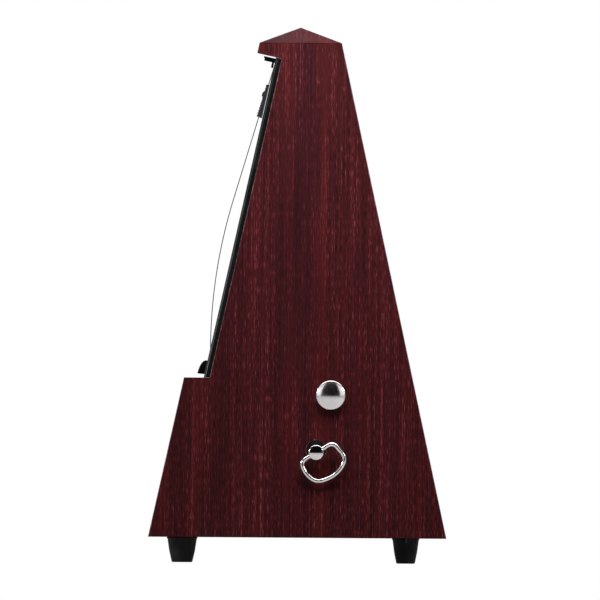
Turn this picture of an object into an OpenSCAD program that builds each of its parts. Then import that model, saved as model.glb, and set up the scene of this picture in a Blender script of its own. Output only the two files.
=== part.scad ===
// Wind-up pyramid metronome with its front cover taken off.
// Millimetres. The cover opening faces -Y, the winding key and the bell knob
// are on the +X side, and the object stands on z = 0 with the case centred
// on the origin.

/* [Case] */
// Height of the case from its lower edge to the point of the roof
case_h = 206.8; // [200:0.2:212]
// Height of the roof above the eaves
roof_h = 6.2; // [4:0.1:9]
// Depth of the case at its lower edge, front to back
base_depth = 121; // [118:0.5:126]
// Width of the case at its lower edge
base_width = 117.5; // [114:0.5:124]
// Depth of the case at the eaves
eave_depth = 33.4; // [31:0.2:36]
// Width of the case at the eaves
eave_width = 33; // [31:0.2:36]
// Thickness of the case walls
wall = 3; // [2.4:0.1:3.4]

/* [Cover opening] */
// Height of the ledge above the lower edge of the case
ledge_h = 64.7; // [63:0.1:67]
// Depth of the cover's recess, square to the front panel
recess = 10.2; // [9.4:0.1:11]
// Height of the eaves above the cornice's lower edge, where the opening ends
cornice_drop = 6.4498; // [5.4498:0.1:7.4498]

/* [Front panel] */
// How far the rims stand proud of the case walls
rim_proud = 2.4; // [1.8:0.1:3]
// Width of each rim
rim_w = 4.4; // [4:0.1:5.4]
// Depth of the panel's field behind the front edges of the walls
field_sunk = 1.6; // [1.4:0.1:2]
// Thickness of the panel
panel_t = 2.4; // [1.8:0.1:2.8]
// How far the rims stay inside the outer faces of the case
rim_inset = 0.8; // [0.4:0.1:1.4]
// Thickness of the scale plate
scale_t = 0.5; // [0.3:0.1:0.8]

/* [Pendulum] */
// Distance of the pendulum's pivot below the foot of the panel
pivot_drop = 6; // [5:0.2:7]
// Width of the spring-steel rod
rod_w = 2.8; // [2:0.1:3.6]
// Thickness of the rod
rod_t = 0.5; // [0.4:0.05:0.7]
// Radius of the rod's bow, from its root to the straight part
bow_r = 208.4; // [200:0.2:216]
// Height on the panel where the bow goes over into the straight part
bow_joint = 72; // [68:0.5:76]
// How far the rod stands in front of the wall edges there
bow_stand = 6.47; // [6:0.01:7]
// Slope of the straight part against the panel
rod_slope = 4.3; // [4:0.1:4.6]
// Room between the rod's tip and the cornice, along the panel
tip_room = 2.9; // [2.5:0.1:3.5]
// Length of the counterweight's arm from the pivot
arm_len = 40; // [36:0.5:42]
// Diameter of the counterweight
bob_d = 22; // [18:0.5:23]
// Thickness of the counterweight
bob_t = 9; // [7:0.5:9.5]

/* [Sliding weight] */
// Distance from the cornice down to the resting weight's lower edge
weight_drop = 25.2; // [24.5:0.1:32]
// Height of the weight
weight_h = 13.6; // [12:0.1:15]
// Width of the weight at its top
weight_top_w = 17; // [14:0.5:20]
// Width of the weight at its lower edge
weight_low_w = 12.5; // [10:0.5:14]

/* [Winding key] */
// Height of the winding arbor above the lower edge of the case
key_h = 34.6; // [33.6:0.1:35.6]
// Place of the winding arbor behind the middle of the case
key_y = 7.4; // [6.4:0.1:8.4]
// Diameter of the key's stem
stem_d = 4.2; // [3.8:0.1:5]
// Diameter of the ball at the end of the stem
ball_d = 6.1; // [5.6:0.1:7]
// Diameter of the ring's wire
wire_d = 1.8; // [1.6:0.1:2]
// Width of the ring along its straight side
ring_w = 18.9; // [17:0.1:20]
// Reach of the ring from the middle of its straight side
ring_reach = 12; // [11:0.1:13]
// Slope of the ring's straight side
ring_slope = 31; // [0:1:90]

/* [Bell knob] */
// Distance between the winding arbor and the selector rod
knob_gap = 24; // [23.8:0.1:24.6]
// Slope of the line between them, from the vertical
knob_lean = 14; // [10:0.5:18]
// Diameter of the bell knob
knob_d = 11.9; // [10:0.1:14]
// Diameter of the selector rod
selector_d = 3; // [2.6:0.1:3.4]
// Spacing of the bell's settings along the selector rod
setting_step = 2; // [1.8:0.1:2.2]

/* [Feet] */
// Height of the feet
foot_h = 10.2; // [8:0.1:12]
// Diameter of the front feet where they meet the base
foot_d = 12.7; // [11:0.1:14]
// Diameter of the front feet at the table
foot_end_d = 8.6; // [7:0.1:10]
// Size of the rear foot against the front feet
rear_foot_ratio = 0.9; // [0.8:0.05:1]
// Distance of the front feet behind the front edge of the case
front_foot_in = 13.9; // [12:0.1:16]
// Distance of the rear foot in front of the rear edge of the case
rear_foot_in = 16.5; // [14:0.1:20]
// Distance of the front feet from the sides of the case
side_foot_in = 14; // [12:0.1:16]

/* [Movement] */
// Thickness of the movement's side plates
plate_t = 1.5; // [1.2:0.1:1.8]
// Inner face of the left side plate
left_x = -12.5; // [-14:0.5:-12]
// Inner face of the right side plate
right_x = 20; // [19:0.5:21]
// Module of the second wheel and of the escape pinion
second_module = 0.55; // [0.5:0.01:0.56]
// Teeth of the escape wheel
escape_teeth = 15; // [15:2:21]
// Diameter of the escape wheel
escape_d = 20; // [18:0.2:21]
// Diameter of the mainspring barrel
barrel_d = 32; // [30:0.5:33]
// Length of the mainspring barrel
barrel_len = 10; // [9:0.2:10.4]
// Diameter of the bell
bell_d = 30; // [26:0.5:31]

/* [Hidden] */
$fn = 64;
// Clearance between parts that are pushed together without moving
fit_gap = 0.15;
// Radial clearance of a turning or sliding shaft in its bore
run_gap = 0.06;
// Clearance between parts that pass each other
pass_gap = 0.4;

// --- Case geometry
lean = atan((base_depth - eave_depth) / 2 / (case_h - roof_h));
side_lean = atan((base_width - eave_width) / 2 / (case_h - roof_h));
floor_z = foot_h;
ledge_z = floor_z + ledge_h;
eave_z = floor_z + case_h - roof_h;
apex_z = floor_z + case_h;
// Outer faces of the case at a height
function front_y(z) = -base_depth / 2 + (z - floor_z) * tan(lean);
function side_x(z) = base_width / 2 - (z - floor_z) * tan(side_lean);
wall_y = wall / cos(lean);
wall_x = wall / cos(side_lean);
panel_y = front_y(ledge_z) + recess / cos(lean);
// Length of the opening along the front panel, ledge to cornice
opening_len = (eave_z - cornice_drop - ledge_z) / cos(lean);

// A point in the side view, from its depth behind the wall edges and its
// height along the front panel
function on_side(depth, height) = [
    panel_y + depth * cos(lean) + height * sin(lean),
    ledge_z - depth * sin(lean) + height * cos(lean)];
// Y of the plane at a depth behind the wall edges, at a height z
function panel_at(depth, z) = panel_y + depth / cos(lean) + (z - ledge_z) * tan(lean);
// Half the width of the case at a height along the panel
function panel_half(height) = side_x(ledge_z + height * cos(lean));

// --- Base plate, its corner posts and its screws
base_t = 3;
base_top = floor_z + base_t;
post_d = 9;
post_h = 20;
screw_d = 3;
screw_head_d = 5;
screw_head_t = 1.8;
post_in = wall + post_d / 2 + 1;
post_x = side_x(base_top + post_h) - post_in;
post_y = -front_y(base_top + post_h) - post_in;
front_foot_y = front_y(floor_z) + front_foot_in;
front_foot_x = base_width / 2 - side_foot_in;
rear_foot_y = base_depth / 2 - rear_foot_in;

// --- Front panel
foot_tail = 7;
field_bot = -foot_tail;
field_top = opening_len - pass_gap;
hub_r = 4.6;
swing_max = 28;
tip_height = opening_len - tip_room;
weight_at = opening_len - weight_drop;
fan_top = 4.5;
scale_foot = 9;
scale_top = tip_height - 14;
hook_x = 13.5;
hook_w = 6;
hook_h = 6.4;
hook_out = 3.4;
hook_foot = 1.1;
latch_screw_at = field_top - 12.1;
latch_screw_x = 7;

// --- Rod: a bow from the root, and a straight part that goes on from it
joint_point = [-bow_stand, bow_joint];
bow_centre = joint_point + bow_r * [cos(rod_slope), -sin(rod_slope)];
root_height = -pivot_drop - 2.6;
root_angle = asin((root_height - bow_centre[1]) / bow_r);
straight_len = (tip_height - bow_joint) / cos(rod_slope);
// Depth of the straight part at a height on the panel
function rod_depth(height) = -bow_stand + (height - bow_joint) * tan(rod_slope);

// --- Pendulum arbor, square to the panel through the pivot
hub_front = field_sunk + pass_gap;
arbor_front = hub_front + 1.6;
hub_len = 6;
arm_depth = hub_front + hub_len - 1.6;
arbor_d = 2.4;
front_bridge_at = 13.4;
rear_cock_at = 34;
bridge_t = 1.5;
pivot_d = 1.4;

// --- Gear train
wheel_teeth = 60;
pinion_leaves = 10;
second_teeth = 50;
key_z = floor_z + key_h;
key_axis = [key_y, key_z];
selector_axis = key_axis + knob_gap * [sin(knob_lean), cos(knob_lean)];
great_module = 2 * knob_gap / (wheel_teeth + pinion_leaves);
great_x = 13.4;
great_t = 1.8;
second_x = -5.4;
second_t = 1.2;
escape_t = 1.1;
escape_drop = escape_d / 2 + arbor_d / 2 + 2;
escape_depth = 23;
escape_axis = on_side(escape_depth, -pivot_drop - escape_drop);
arm_d = 2.4;
pallet_off = 4.5;
function pallet_at(side) = escape_depth + side * pallet_off;
pallet_reach = escape_drop - pass_gap - 0.1
    - sqrt(pow(escape_d / 2, 2) - pow(pallet_off - 1, 2));
second_gap = second_module * (second_teeth + pinion_leaves) / 2;
// Second arbor: where its distances from both neighbours meet, lower side
span = norm(escape_axis - key_axis);
span_dir = (escape_axis - key_axis) / span;
foot_along = (pow(knob_gap, 2) - pow(second_gap, 2) + pow(span, 2)) / (2 * span);
foot_off = sqrt(pow(knob_gap, 2) - pow(foot_along, 2));
second_axis = key_axis + foot_along * span_dir + foot_off * [-span_dir[1], span_dir[0]];
great_angle = atan2((second_axis - key_axis)[1], (second_axis - key_axis)[0]);
drum_angle = atan2((selector_axis - key_axis)[1], (selector_axis - key_axis)[0]);
escape_angle = atan2((escape_axis - second_axis)[1], (escape_axis - second_axis)[0]);
// Turn of a gear that meshes with a driver at the angle between their axes
function mesh_turn(angle, driver_turn, teeth, leaves) = angle + 180 + 180 / leaves
    + ((angle - driver_turn) % (360 / teeth)) * teeth / leaves;
second_turn = mesh_turn(great_angle, 0, wheel_teeth, pinion_leaves);
drum_turn = mesh_turn(drum_angle, 0, wheel_teeth, pinion_leaves);
escape_turn = mesh_turn(escape_angle, second_turn, second_teeth, pinion_leaves);

// --- Movement frame
plate_fore = 36.9;
plate_aft = 26.2;
plate_rise = 33;
plate_front = key_y - plate_fore;
plate_rear = key_y + plate_aft;
plate_top = key_z + plate_rise;
pillar_d = 5;
low_pillar_up = 5;
front_pillar_in = 5;
rear_pillar_in = 4;
top_rear_in = 5.5;
top_rear_down = 6;
top_front_fore = 21.8;
top_front_down = 4.5;
pillars = [
    [plate_front + front_pillar_in, base_top + low_pillar_up],
    [plate_rear - rear_pillar_in, base_top + low_pillar_up],
    [plate_rear - top_rear_in, plate_top - top_rear_down],
    [key_y - top_front_fore, plate_top - top_front_down]];
flange_w = 7;
nut_d = 4;

// --- Winding arbor, ratchet and click
arbor_big_d = 4;
ratchet_x = right_x + plate_t + 0.4;
ratchet_t = 1.6;
ratchet_teeth = 24;
ratchet_r = 9;
ratchet_depth = 1.3;
click_at = 65;
click_pivot = key_axis + 14.5 * [cos(12), sin(12)];
click_d = 1.8;

click_mid = click_pivot + 6 * [cos(click_at + 60), sin(click_at + 60)];

// --- Key stem
stem_in = ratchet_x + ratchet_t + 3;
spigot_d = 2.4;
spigot_len = 6;

// --- Key ring: a circle cut by its straight side, with round corners.
// Each ring of points is [x, y, direction of the outward normal].
ring_r = (ring_w - wire_d) / 2;
ring_centre = ring_reach - ring_r;
ring_corner = 1.6;
ring_corner_x = sqrt(pow(ring_r - ring_corner, 2) - pow(ring_centre - ring_corner, 2));
ring_corner_turn = atan2(ring_centre - ring_corner, ring_corner_x);
wire_sides = 12;
function arc_ring(x, y, radius, turn) = [x + radius * cos(turn), y + radius * sin(turn), turn];
corner_steps = [0:5];
arc_steps = [1:27];
ring_path = concat(
    [for (i = corner_steps) arc_ring(-ring_corner_x, -ring_corner, ring_corner,
        90 + (90 - ring_corner_turn) * i / 5)],
    [for (i = arc_steps) arc_ring(0, -ring_centre, ring_r,
        180 - ring_corner_turn + (180 + 2 * ring_corner_turn) * i / 28)],
    [for (i = corner_steps) arc_ring(ring_corner_x, -ring_corner, ring_corner,
        360 + ring_corner_turn + (90 - ring_corner_turn) * i / 5)]);
pin_half = ball_d / 2 + 0.6;
ring_sweep = ring_reach + wire_d / 2;
ring_x = side_x(key_z - ring_sweep) + wire_d / 2 + 1.4;

// --- Bell selector and drum
settings = [0, 2, 3, 4, 6];
pull = setting_step * (len(settings) - 1);
tail_x = 3;
drum_r = 4;
lobe_h = 1.4;
drum_left = tail_x - pull - setting_step / 2;
drum_right = tail_x + setting_step / 2;
drum_pinion_left = great_x - pull - 0.6;
drum_pinion_right = great_x + great_t + 0.6;
collar_t = 1.4;
knob_in = side_x(selector_axis[1] - knob_d / 2) + 0.7;
knob_t = 3.4;

pinion_clear_d = great_module * (pinion_leaves + 2) + 1.2;

// --- Bell and hammer
bell_r = bell_d / 2;
bell_t = 1.1;
bell_z = base_top + 6.5;
bell_x = left_x - plate_t - 1.6 - bell_r;
hammer_axis = selector_axis + [13.8, -4];
hammer_head_r = 3;
hammer_head_z = bell_z + 10;
bell_y = hammer_axis[0] - sqrt(pow(bell_r + hammer_head_r + pass_gap, 2) - 100);
tail_t = 1.2;

// Places local shapes on the inclined front panel
module on_panel() {
    translate([0, panel_y, ledge_z]) rotate([-lean, 0, 0]) children();
}
// A front-view outline as a plate between two depths behind the wall edges
module panel_plate(from, to) {
    on_panel() translate([0, to, 0]) rotate([90, 0, 0])
        linear_extrude(to - from) children();
}
// A side-view outline as a solid between two places across the case
module across(from, to) {
    translate([from, 0, 0]) rotate([90, 0, 90]) linear_extrude(to - from) children();
}
// A front-view outline as a solid between two places along the depth
module along(from, to) {
    translate([0, to, 0]) rotate([90, 0, 0]) linear_extrude(to - from) children();
}
// A round rod or bore across the case
module rod_across(axis, from, to, d) {
    across(from, to) translate(axis) circle(d = d);
}
// A round rod or bore square to the panel
module rod_square(height, from, to, d, x = 0) {
    panel_plate(from, to) translate([x, height]) circle(d = d);
}
// A strip bent to an arc in the side view, angles from the front upwards
module bow(radius, from, to, width, thick) {
    rotate([90, 0, 90]) rotate(180 - to) rotate_extrude(angle = to - from, $fn = 720)
        translate([radius - thick / 2, -width / 2]) square([thick, width]);
}
module screw_up(x, y, z, length) {
    translate([x, y, z]) {
        cylinder(d = screw_head_d, h = screw_head_t);
        cylinder(d = screw_d, h = length);
    }
}

// --- Case
module side_outline() {
    polygon([
        [front_y(floor_z), floor_z], [front_y(ledge_z), ledge_z], [panel_y, ledge_z],
        on_side(0, opening_len), on_side(-recess, opening_len),
        [-eave_depth / 2, eave_z], [0, apex_z], [eave_depth / 2, eave_z],
        [base_depth / 2, floor_z]]);
}
module front_outline(inset = 0) {
    low = side_x(floor_z) - inset;
    high = side_x(eave_z) - inset;
    polygon([[-low, floor_z], [-high, eave_z], [0, apex_z - inset],
        [high, eave_z], [low, floor_z]]);
}
module side_cavity() {
    under = floor_z - 1;
    shelf = ledge_z - wall;
    roof = eave_z - wall;
    polygon([
        [front_y(under) + wall_y, under], [front_y(shelf) + wall_y, shelf],
        [panel_at(field_sunk, shelf), shelf], [panel_at(field_sunk, ledge_z), ledge_z],
        [panel_at(-1, ledge_z), ledge_z], on_side(-1, opening_len),
        on_side(0, opening_len), [panel_at(0, roof), roof],
        [-front_y(roof) - wall_y, roof], [-front_y(under) - wall_y, under]]);
}
module front_cavity() {
    low = side_x(floor_z - 1) - wall_x;
    high = side_x(eave_z) - wall_x;
    polygon([[-low, floor_z - 1], [-high, eave_z], [high, eave_z], [low, floor_z - 1]]);
}
module corner_blocks() {
    for (x = [-1, 1], y = [-1, 1])
        translate([x * (front_foot_x + 15.8), -y * (front_foot_y - 15.8), base_top + post_h / 2])
            cube([40, 40, post_h], center = true);
}
module housing() {
    color([0.36, 0.09, 0.11]) difference() {
        intersection() {
            across(-base_width, base_width) side_outline();
            along(-base_depth, base_depth) front_outline();
        }
        difference() {
            intersection() {
                across(-base_width, base_width) side_cavity();
                along(-base_depth, base_depth) front_cavity();
            }
            corner_blocks();
        }
        on_panel() translate([-rod_w / 2 - 3, -rim_proud, -foot_tail])
            cube([rod_w + 6, rim_proud + field_sunk + 1, foot_tail + 1.4]);
        for (x = [-1, 1], y = [-1, 1])
            translate([x * front_foot_x, y * front_foot_y, base_top - 1])
                cylinder(d = screw_d + 2 * run_gap, h = 13);
        rod_across(key_axis, 0, base_width, stem_d + 1.2);
        rod_across(selector_axis, 0, base_width, selector_d + 1.2);
    }
}
module base_plate() {
    half_x = side_x(base_top) - wall_x - fit_gap;
    half_y = -front_y(base_top) - wall_y - fit_gap;
    color([0.1, 0.1, 0.1]) difference() {
        translate([-half_x, -half_y, floor_z]) cube([2 * half_x, 2 * half_y, base_t]);
        for (x = [-1, 1], y = [-1, 1])
            translate([x * front_foot_x, y * front_foot_y, floor_z - 1])
                cylinder(d = screw_d + 2 * run_gap, h = base_t + 2);
        translate([0, rear_foot_y, floor_z - 1])
            cylinder(d = screw_d + 2 * run_gap, h = base_t + 2);
        frame_screw_places() translate([0, 0, floor_z - 1])
            cylinder(d = screw_d + 2 * run_gap, h = base_t + 2);
        translate([bell_x, bell_y, floor_z - 1])
            cylinder(d = screw_d + 2 * run_gap, h = base_t + 2);
    }
}
module foot(d, end_d) {
    recess_h = foot_h - 3.2;
    difference() {
        rotate_extrude() polygon([[0, 0], [end_d / 2 - 0.5, 0], [end_d / 2 - 0.15, 0.2],
            [end_d / 2, 0.6], [d / 2, foot_h], [0, foot_h]]);
        translate([0, 0, -1]) cylinder(d = screw_head_d + 0.3, h = recess_h + 1);
        cylinder(d = screw_d + 2 * run_gap, h = foot_h + 1);
    }
}
module front_feet() {
    color([0.05, 0.05, 0.05]) for (x = [-1, 1])
        translate([x * front_foot_x, front_foot_y, 0]) foot(foot_d, foot_end_d);
}
module rear_foot() {
    color([0.05, 0.05, 0.05]) translate([0, rear_foot_y, 0])
        foot(foot_d * rear_foot_ratio, foot_end_d * rear_foot_ratio);
}
module foot_screws() {
    seat = foot_h - 3.2 - screw_head_t;
    color("silver") {
        for (x = [-1, 1]) screw_up(x * front_foot_x, front_foot_y, seat, 17);
        screw_up(0, rear_foot_y, seat, foot_h + base_t - seat);
    }
}
module base_screws() {
    color("silver") for (x = [-1, 1])
        screw_up(x * front_foot_x, -front_foot_y, floor_z - screw_head_t, 14);
}

// --- Front panel and what is fixed on it
module tapered_outline(low, high, out, inner = undef) {
    half = [panel_half(low) - out, panel_half(high) - out];
    if (is_undef(inner))
        polygon([[-half[0], low], [half[0], low], [half[1], high], [-half[1], high]]);
    else for (side = [-1, 1])
        polygon([[side * half[0], low], [side * half[1], high],
            [side * (panel_half(high) - inner), high], [side * (panel_half(low) - inner), low]]);
}
module fan_outline() {
    reach = fan_top + pivot_drop;
    near = rod_w / 2 + 0.9;
    far = near + reach * tan(swing_max);
    polygon([[-near, -pivot_drop], [-far, fan_top], [far, fan_top], [near, -pivot_drop]]);
    translate([0, -pivot_drop]) circle(r = hub_r + 0.5);
    translate([-hub_r - 0.5, field_bot - 1]) square([2 * hub_r + 1, -pivot_drop - field_bot + 1]);
}
module front_panel() {
    rim_in = rim_inset + rim_w;
    field_out = wall_x + fit_gap;
    color([0.08, 0.09, 0.09]) difference() {
        union() {
            panel_plate(-rim_proud, 0) tapered_outline(0.2, field_top, rim_inset, rim_in);
            panel_plate(0, field_sunk + panel_t) tapered_outline(0.2, field_top, field_out, rim_in);
            panel_plate(field_sunk, field_sunk + panel_t)
                tapered_outline(field_bot, field_top, field_out);
        }
        panel_plate(field_sunk - 1, field_sunk + panel_t + 1) fan_outline();
        for (x = [-1, 1]) rod_square(latch_screw_at, field_sunk - 1,
            field_sunk + panel_t + 1, 1.6, x * latch_screw_x);
    }
}
module scale_plate() {
    color([0.85, 0.83, 0.76]) panel_plate(field_sunk - scale_t, field_sunk)
        tapered_outline(scale_foot, scale_top, rim_inset + rim_w + 0.6);
}
module cover_hooks() {
    color([0.03, 0.03, 0.03]) for (x = [-1, 1])
        across(x * hook_x - hook_w / 2, x * hook_x + hook_w / 2) polygon(concat(
            [on_side(field_sunk, hook_foot + 0.9), on_side(-rim_proud - hook_out, hook_foot)],
            [for (turn = [0:15:75]) on_side(
                -rim_proud - hook_out * pow(cos(turn), 0.8), hook_foot + hook_h * sin(turn))],
            [on_side(-rim_proud, hook_foot + hook_h), on_side(field_sunk, hook_foot + hook_h)]));
}
module cover_latch() {
    lip_t = 0.9;
    lip_low = tip_height - 1.6;
    lip_in = rod_depth(lip_low) - rod_t / 2 - 0.1;
    lip_w = 7;
    color([0.04, 0.04, 0.04]) {
        on_panel() translate([-lip_w / 2, lip_in - lip_t, lip_low])
            cube([lip_w, lip_t, field_top - 1.6 - lip_low]);
        on_panel() translate([-lip_w / 2 - 1, -rim_proud - 4.4, field_top - 1.9])
            cube([lip_w + 2, 4.4 + rim_proud + field_sunk, 1.3]);
        on_panel() translate([-lip_w / 2 - 2, -rim_proud - 4.8, field_top - 0.8])
            cube([lip_w + 4, 4.8 + rim_proud + field_sunk, 0.7]);
        on_panel() translate([-lip_w / 2 - 4, field_sunk - 1, field_top - 14])
            cube([lip_w + 8, 1, 13.9]);
        for (x = [-1, 1]) rod_square(latch_screw_at, field_sunk - 0.5,
            field_sunk + panel_t, 1.5, x * latch_screw_x);
    }
}

// --- Pendulum
module on_rod() {
    on_panel() translate([0, -bow_stand, bow_joint]) rotate([-rod_slope, 0, 0]) children();
}
module rod_shape(width, thick) {
    on_panel() translate([0, bow_centre[0], bow_centre[1]])
        bow(bow_r, root_angle, rod_slope, width, thick);
    on_rod() translate([-width / 2, -thick / 2, -0.01])
        cube([width, thick, straight_len + 0.01]);
}
module pendulum_rod() {
    color([0.55, 0.56, 0.58]) rod_shape(rod_w, rod_t);
}
module pendulum_hub() {
    color([0.72, 0.6, 0.3]) difference() {
        union() {
            rod_square(-pivot_drop, hub_front, hub_front + hub_len, 2 * hub_r);
            on_panel() translate([-2, hub_front, -pivot_drop - 7]) cube([4, hub_len, 7]);
        }
        rod_shape(rod_w, rod_t);
        rod_square(-pivot_drop, arbor_front, hub_front + hub_len + 1, arbor_d);
        on_panel() translate([0, arm_depth, -pivot_drop - 8]) cylinder(d = arm_d, h = 4.5);
    }
}
module pendulum_arbor() {
    color("silver") {
        rod_square(-pivot_drop, arbor_front, rear_cock_at - 0.2, arbor_d);
        rod_square(-pivot_drop, rear_cock_at - 0.2, rear_cock_at + bridge_t + 0.4, pivot_d);
    }
}
module pallets() {
    color("silver") difference() {
        for (side = [-1, 1]) {
            rod_square(-pivot_drop, pallet_at(side) - 1.2, pallet_at(side) + 1.2, arbor_d + 1.6);
            on_panel() translate([0, pallet_at(side), -pivot_drop]) rotate([0, side * 38, 0])
                translate([-0.5, -1, -pallet_reach]) cube([1, 2, pallet_reach]);
        }
        rod_square(-pivot_drop, hub_front, rear_cock_at, arbor_d);
    }
}
module counterweight_arm() {
    color("silver") on_panel() translate([0, arm_depth, -pivot_drop - arm_len])
        cylinder(d = arm_d, h = arm_len - 3.5);
}
module counterweight() {
    color([0.45, 0.46, 0.48]) difference() {
        rod_square(-pivot_drop - arm_len, arm_depth - bob_t / 2, arm_depth + bob_t / 2, bob_d);
        on_panel() translate([0, arm_depth, -pivot_drop - arm_len])
            cylinder(d = arm_d, h = bob_d);
    }
}

// --- Sliding weight
module tempo_weight() {
    rear = -rim_proud - 0.2;
    top = weight_at + weight_h;
    front_low = rod_depth(weight_at) - 1;
    front_top = rod_depth(top) - 1;
    ridge = weight_at + weight_h * 0.62;
    color([0.3, 0.3, 0.31]) difference() {
        intersection() {
            across(-weight_top_w, weight_top_w) polygon([
                on_side(rear, weight_at - 0.2), on_side(front_low, weight_at + 0.2),
                on_side(rod_depth(ridge) - 1, ridge), on_side(rod_depth(ridge) - 1.5, ridge + 0.3),
                on_side(rod_depth(ridge + 2) - 1.5, ridge + 1.8),
                on_side(rod_depth(ridge + 2) - 1, ridge + 2.2),
                on_side(front_top, top), on_side(rear, top + 0.2)]);
            panel_plate(-12, 2) polygon([
                [-weight_low_w / 2, weight_at - 1], [weight_low_w / 2, weight_at - 1],
                [weight_top_w / 2, top + 1], [-weight_top_w / 2, top + 1]]);
        }
        on_rod() translate([-rod_w / 2 - 0.1, -rod_t / 2 - 0.1, -5])
            cube([rod_w + 0.2, rod_t + 4, straight_len + 5]);
    }
}
module weight_spring() {
    color("silver") on_rod() translate([-rod_w / 2 - 0.1, rod_t / 2 + 0.1,
        (weight_at - bow_joint) / cos(rod_slope) + 0.6]) cube([rod_w + 0.2, 0.3, 6]);
}

// --- Movement frame
module plate_outline() {
    polygon([[plate_front, base_top], [plate_front, key_z + 1], [plate_front + 2.5, plate_top - 4],
        [plate_front + 9, plate_top], [plate_rear - 8, plate_top],
        [plate_rear, plate_top - 6], [plate_rear, base_top]]);
}
module frame_screw_places() {
    for (x = [left_x - plate_t - flange_w / 2, right_x + plate_t + flange_w / 2],
            y = [plate_front + 8, plate_rear - 8])
        translate([x, y, 0]) children();
}
module side_plate(x, flange_x, drum_hole) {
    difference() {
        union() {
            across(x, x + plate_t) plate_outline();
            for (y = [plate_front + 8, plate_rear - 8])
                translate([flange_x, y - 5, base_top]) cube([flange_w, 10, plate_t]);
        }
        across(x - 1, x + plate_t + 1) {
            translate(key_axis) circle(d = arbor_big_d + 2 * run_gap);
            for (at = [second_axis, escape_axis, hammer_axis])
                translate(at) circle(d = pivot_d + 2 * run_gap);
            translate(selector_axis) circle(d = drum_hole);
            for (at = pillars) translate(at) circle(d = screw_d);
        }
        frame_screw_places() translate([0, 0, base_top - 1])
            cylinder(d = screw_d + 2 * run_gap, h = plate_t + 2);
    }
}
module left_plate() {
    color("gainsboro") side_plate(left_x - plate_t, left_x - plate_t - flange_w,
        selector_d + 2 * run_gap);
}
module right_plate() {
    color("gainsboro") side_plate(right_x, right_x + plate_t, pinion_clear_d);
}
module pillars() {
    color("silver") for (at = pillars) {
        rod_across(at, left_x, right_x, pillar_d);
        rod_across(at, left_x - plate_t, left_x, screw_d);
        rod_across(at, right_x, right_x + plate_t, screw_d);
    }
}
module pillar_screws() {
    color("silver") for (at = pillars) {
        rod_across(at, left_x - plate_t - 1.2, left_x - plate_t, screw_head_d);
        rod_across(at, right_x + plate_t, right_x + plate_t + 1.2, screw_head_d);
    }
}
module frame_screws() {
    color("silver") frame_screw_places() {
        translate([0, 0, floor_z + 0.2]) cylinder(d = screw_d, h = base_t + plate_t + 0.6);
        translate([0, 0, base_top + plate_t]) cylinder(d = screw_head_d, h = screw_head_t);
    }
}
module front_bridge() {
    color([0.72, 0.6, 0.3]) difference() {
        panel_plate(front_bridge_at, front_bridge_at + bridge_t)
            translate([left_x, -pivot_drop - 5]) square([right_x - left_x, 10]);
        rod_square(-pivot_drop, front_bridge_at - 1, front_bridge_at + bridge_t + 1,
            arbor_d + 2 * run_gap);
    }
}
module rear_cock() {
    color([0.72, 0.6, 0.3]) difference() {
        panel_plate(rear_cock_at, rear_cock_at + bridge_t)
            translate([left_x, -pivot_drop - 3]) square([5 - left_x, 8]);
        rod_square(-pivot_drop, rear_cock_at - 1, rear_cock_at + bridge_t + 1,
            pivot_d + 2 * run_gap);
    }
}

// --- Gear train
// Outline of a gear: each tooth from its root, over its flanks, to its tip
module gear(teeth, size, slim) {
    pitch = size * teeth / 2;
    step = 360 / teeth;
    root_r = pitch - 1.25 * size;
    tip_r = pitch + (slim ? 0.75 : 0.85) * size;
    shares = slim ? [0.25, 0.18, 0.07] : [0.29, 0.21, 0.09];
    function spoke(radius, turn) = radius * [cos(turn), sin(turn)];
    polygon([for (tooth = [0:teeth - 1]) let (mid = tooth * step) each [
        spoke(root_r, mid - shares[0] * step), spoke(pitch, mid - shares[1] * step),
        spoke(tip_r, mid - shares[2] * step), spoke(tip_r, mid + shares[2] * step),
        spoke(pitch, mid + shares[1] * step), spoke(root_r, mid + shares[0] * step)]]);
}
module crossings(inner, outer, arms, arm_w) {
    difference() {
        circle(r = outer);
        circle(r = inner);
        for (arm = [0:arms - 1]) rotate(arm * 360 / arms)
            translate([0, -arm_w / 2]) square([outer + 1, arm_w]);
    }
}
module great_wheel() {
    rim_r = great_module * wheel_teeth / 2;
    color("goldenrod") across(great_x, great_x + great_t) translate(key_axis) difference() {
        gear(wheel_teeth, great_module, false);
        circle(d = arbor_big_d + 2 * run_gap);
        crossings(rim_r * 0.45, rim_r * 0.83, 5, 3);
    }
}
module barrel() {
    left = great_x - barrel_len - 1;
    color("goldenrod") difference() {
        rod_across(key_axis, left, great_x, barrel_d);
        rod_across(key_axis, left - 1, great_x - 0.8, barrel_d - 2);
        rod_across(key_axis, left - 1, great_x + 1, arbor_big_d + 2 * run_gap);
    }
}
module barrel_cover() {
    left = great_x - barrel_len - 1;
    color("goldenrod") difference() {
        rod_across(key_axis, left, left + 0.9, barrel_d - 2);
        rod_across(key_axis, left - 1, left + 2, arbor_big_d + 2 * run_gap);
    }
}
module mainspring() {
    coils = 6;
    start_r = arbor_big_d / 2 + 0.3;
    end_r = barrel_d / 2 - 1.35;
    thick = 0.35;
    points = coils * 24;
    function coil(radius, share) = (radius + (end_r - start_r) * share)
        * [cos(360 * coils * share), sin(360 * coils * share)];
    color("steelblue") across(great_x - barrel_len + 0.3, great_x - 1.2) translate(key_axis)
        polygon(concat(
            [for (i = [0:points]) coil(start_r + thick, i / points)],
            [for (i = [points:-1:0]) coil(start_r, i / points)]));
}
module winding_arbor() {
    color("silver") {
        rod_across(key_axis, left_x - plate_t - 0.3, stem_in, arbor_big_d);
        rod_across(key_axis, stem_in, stem_in + spigot_len, spigot_d);
    }
}
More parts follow.
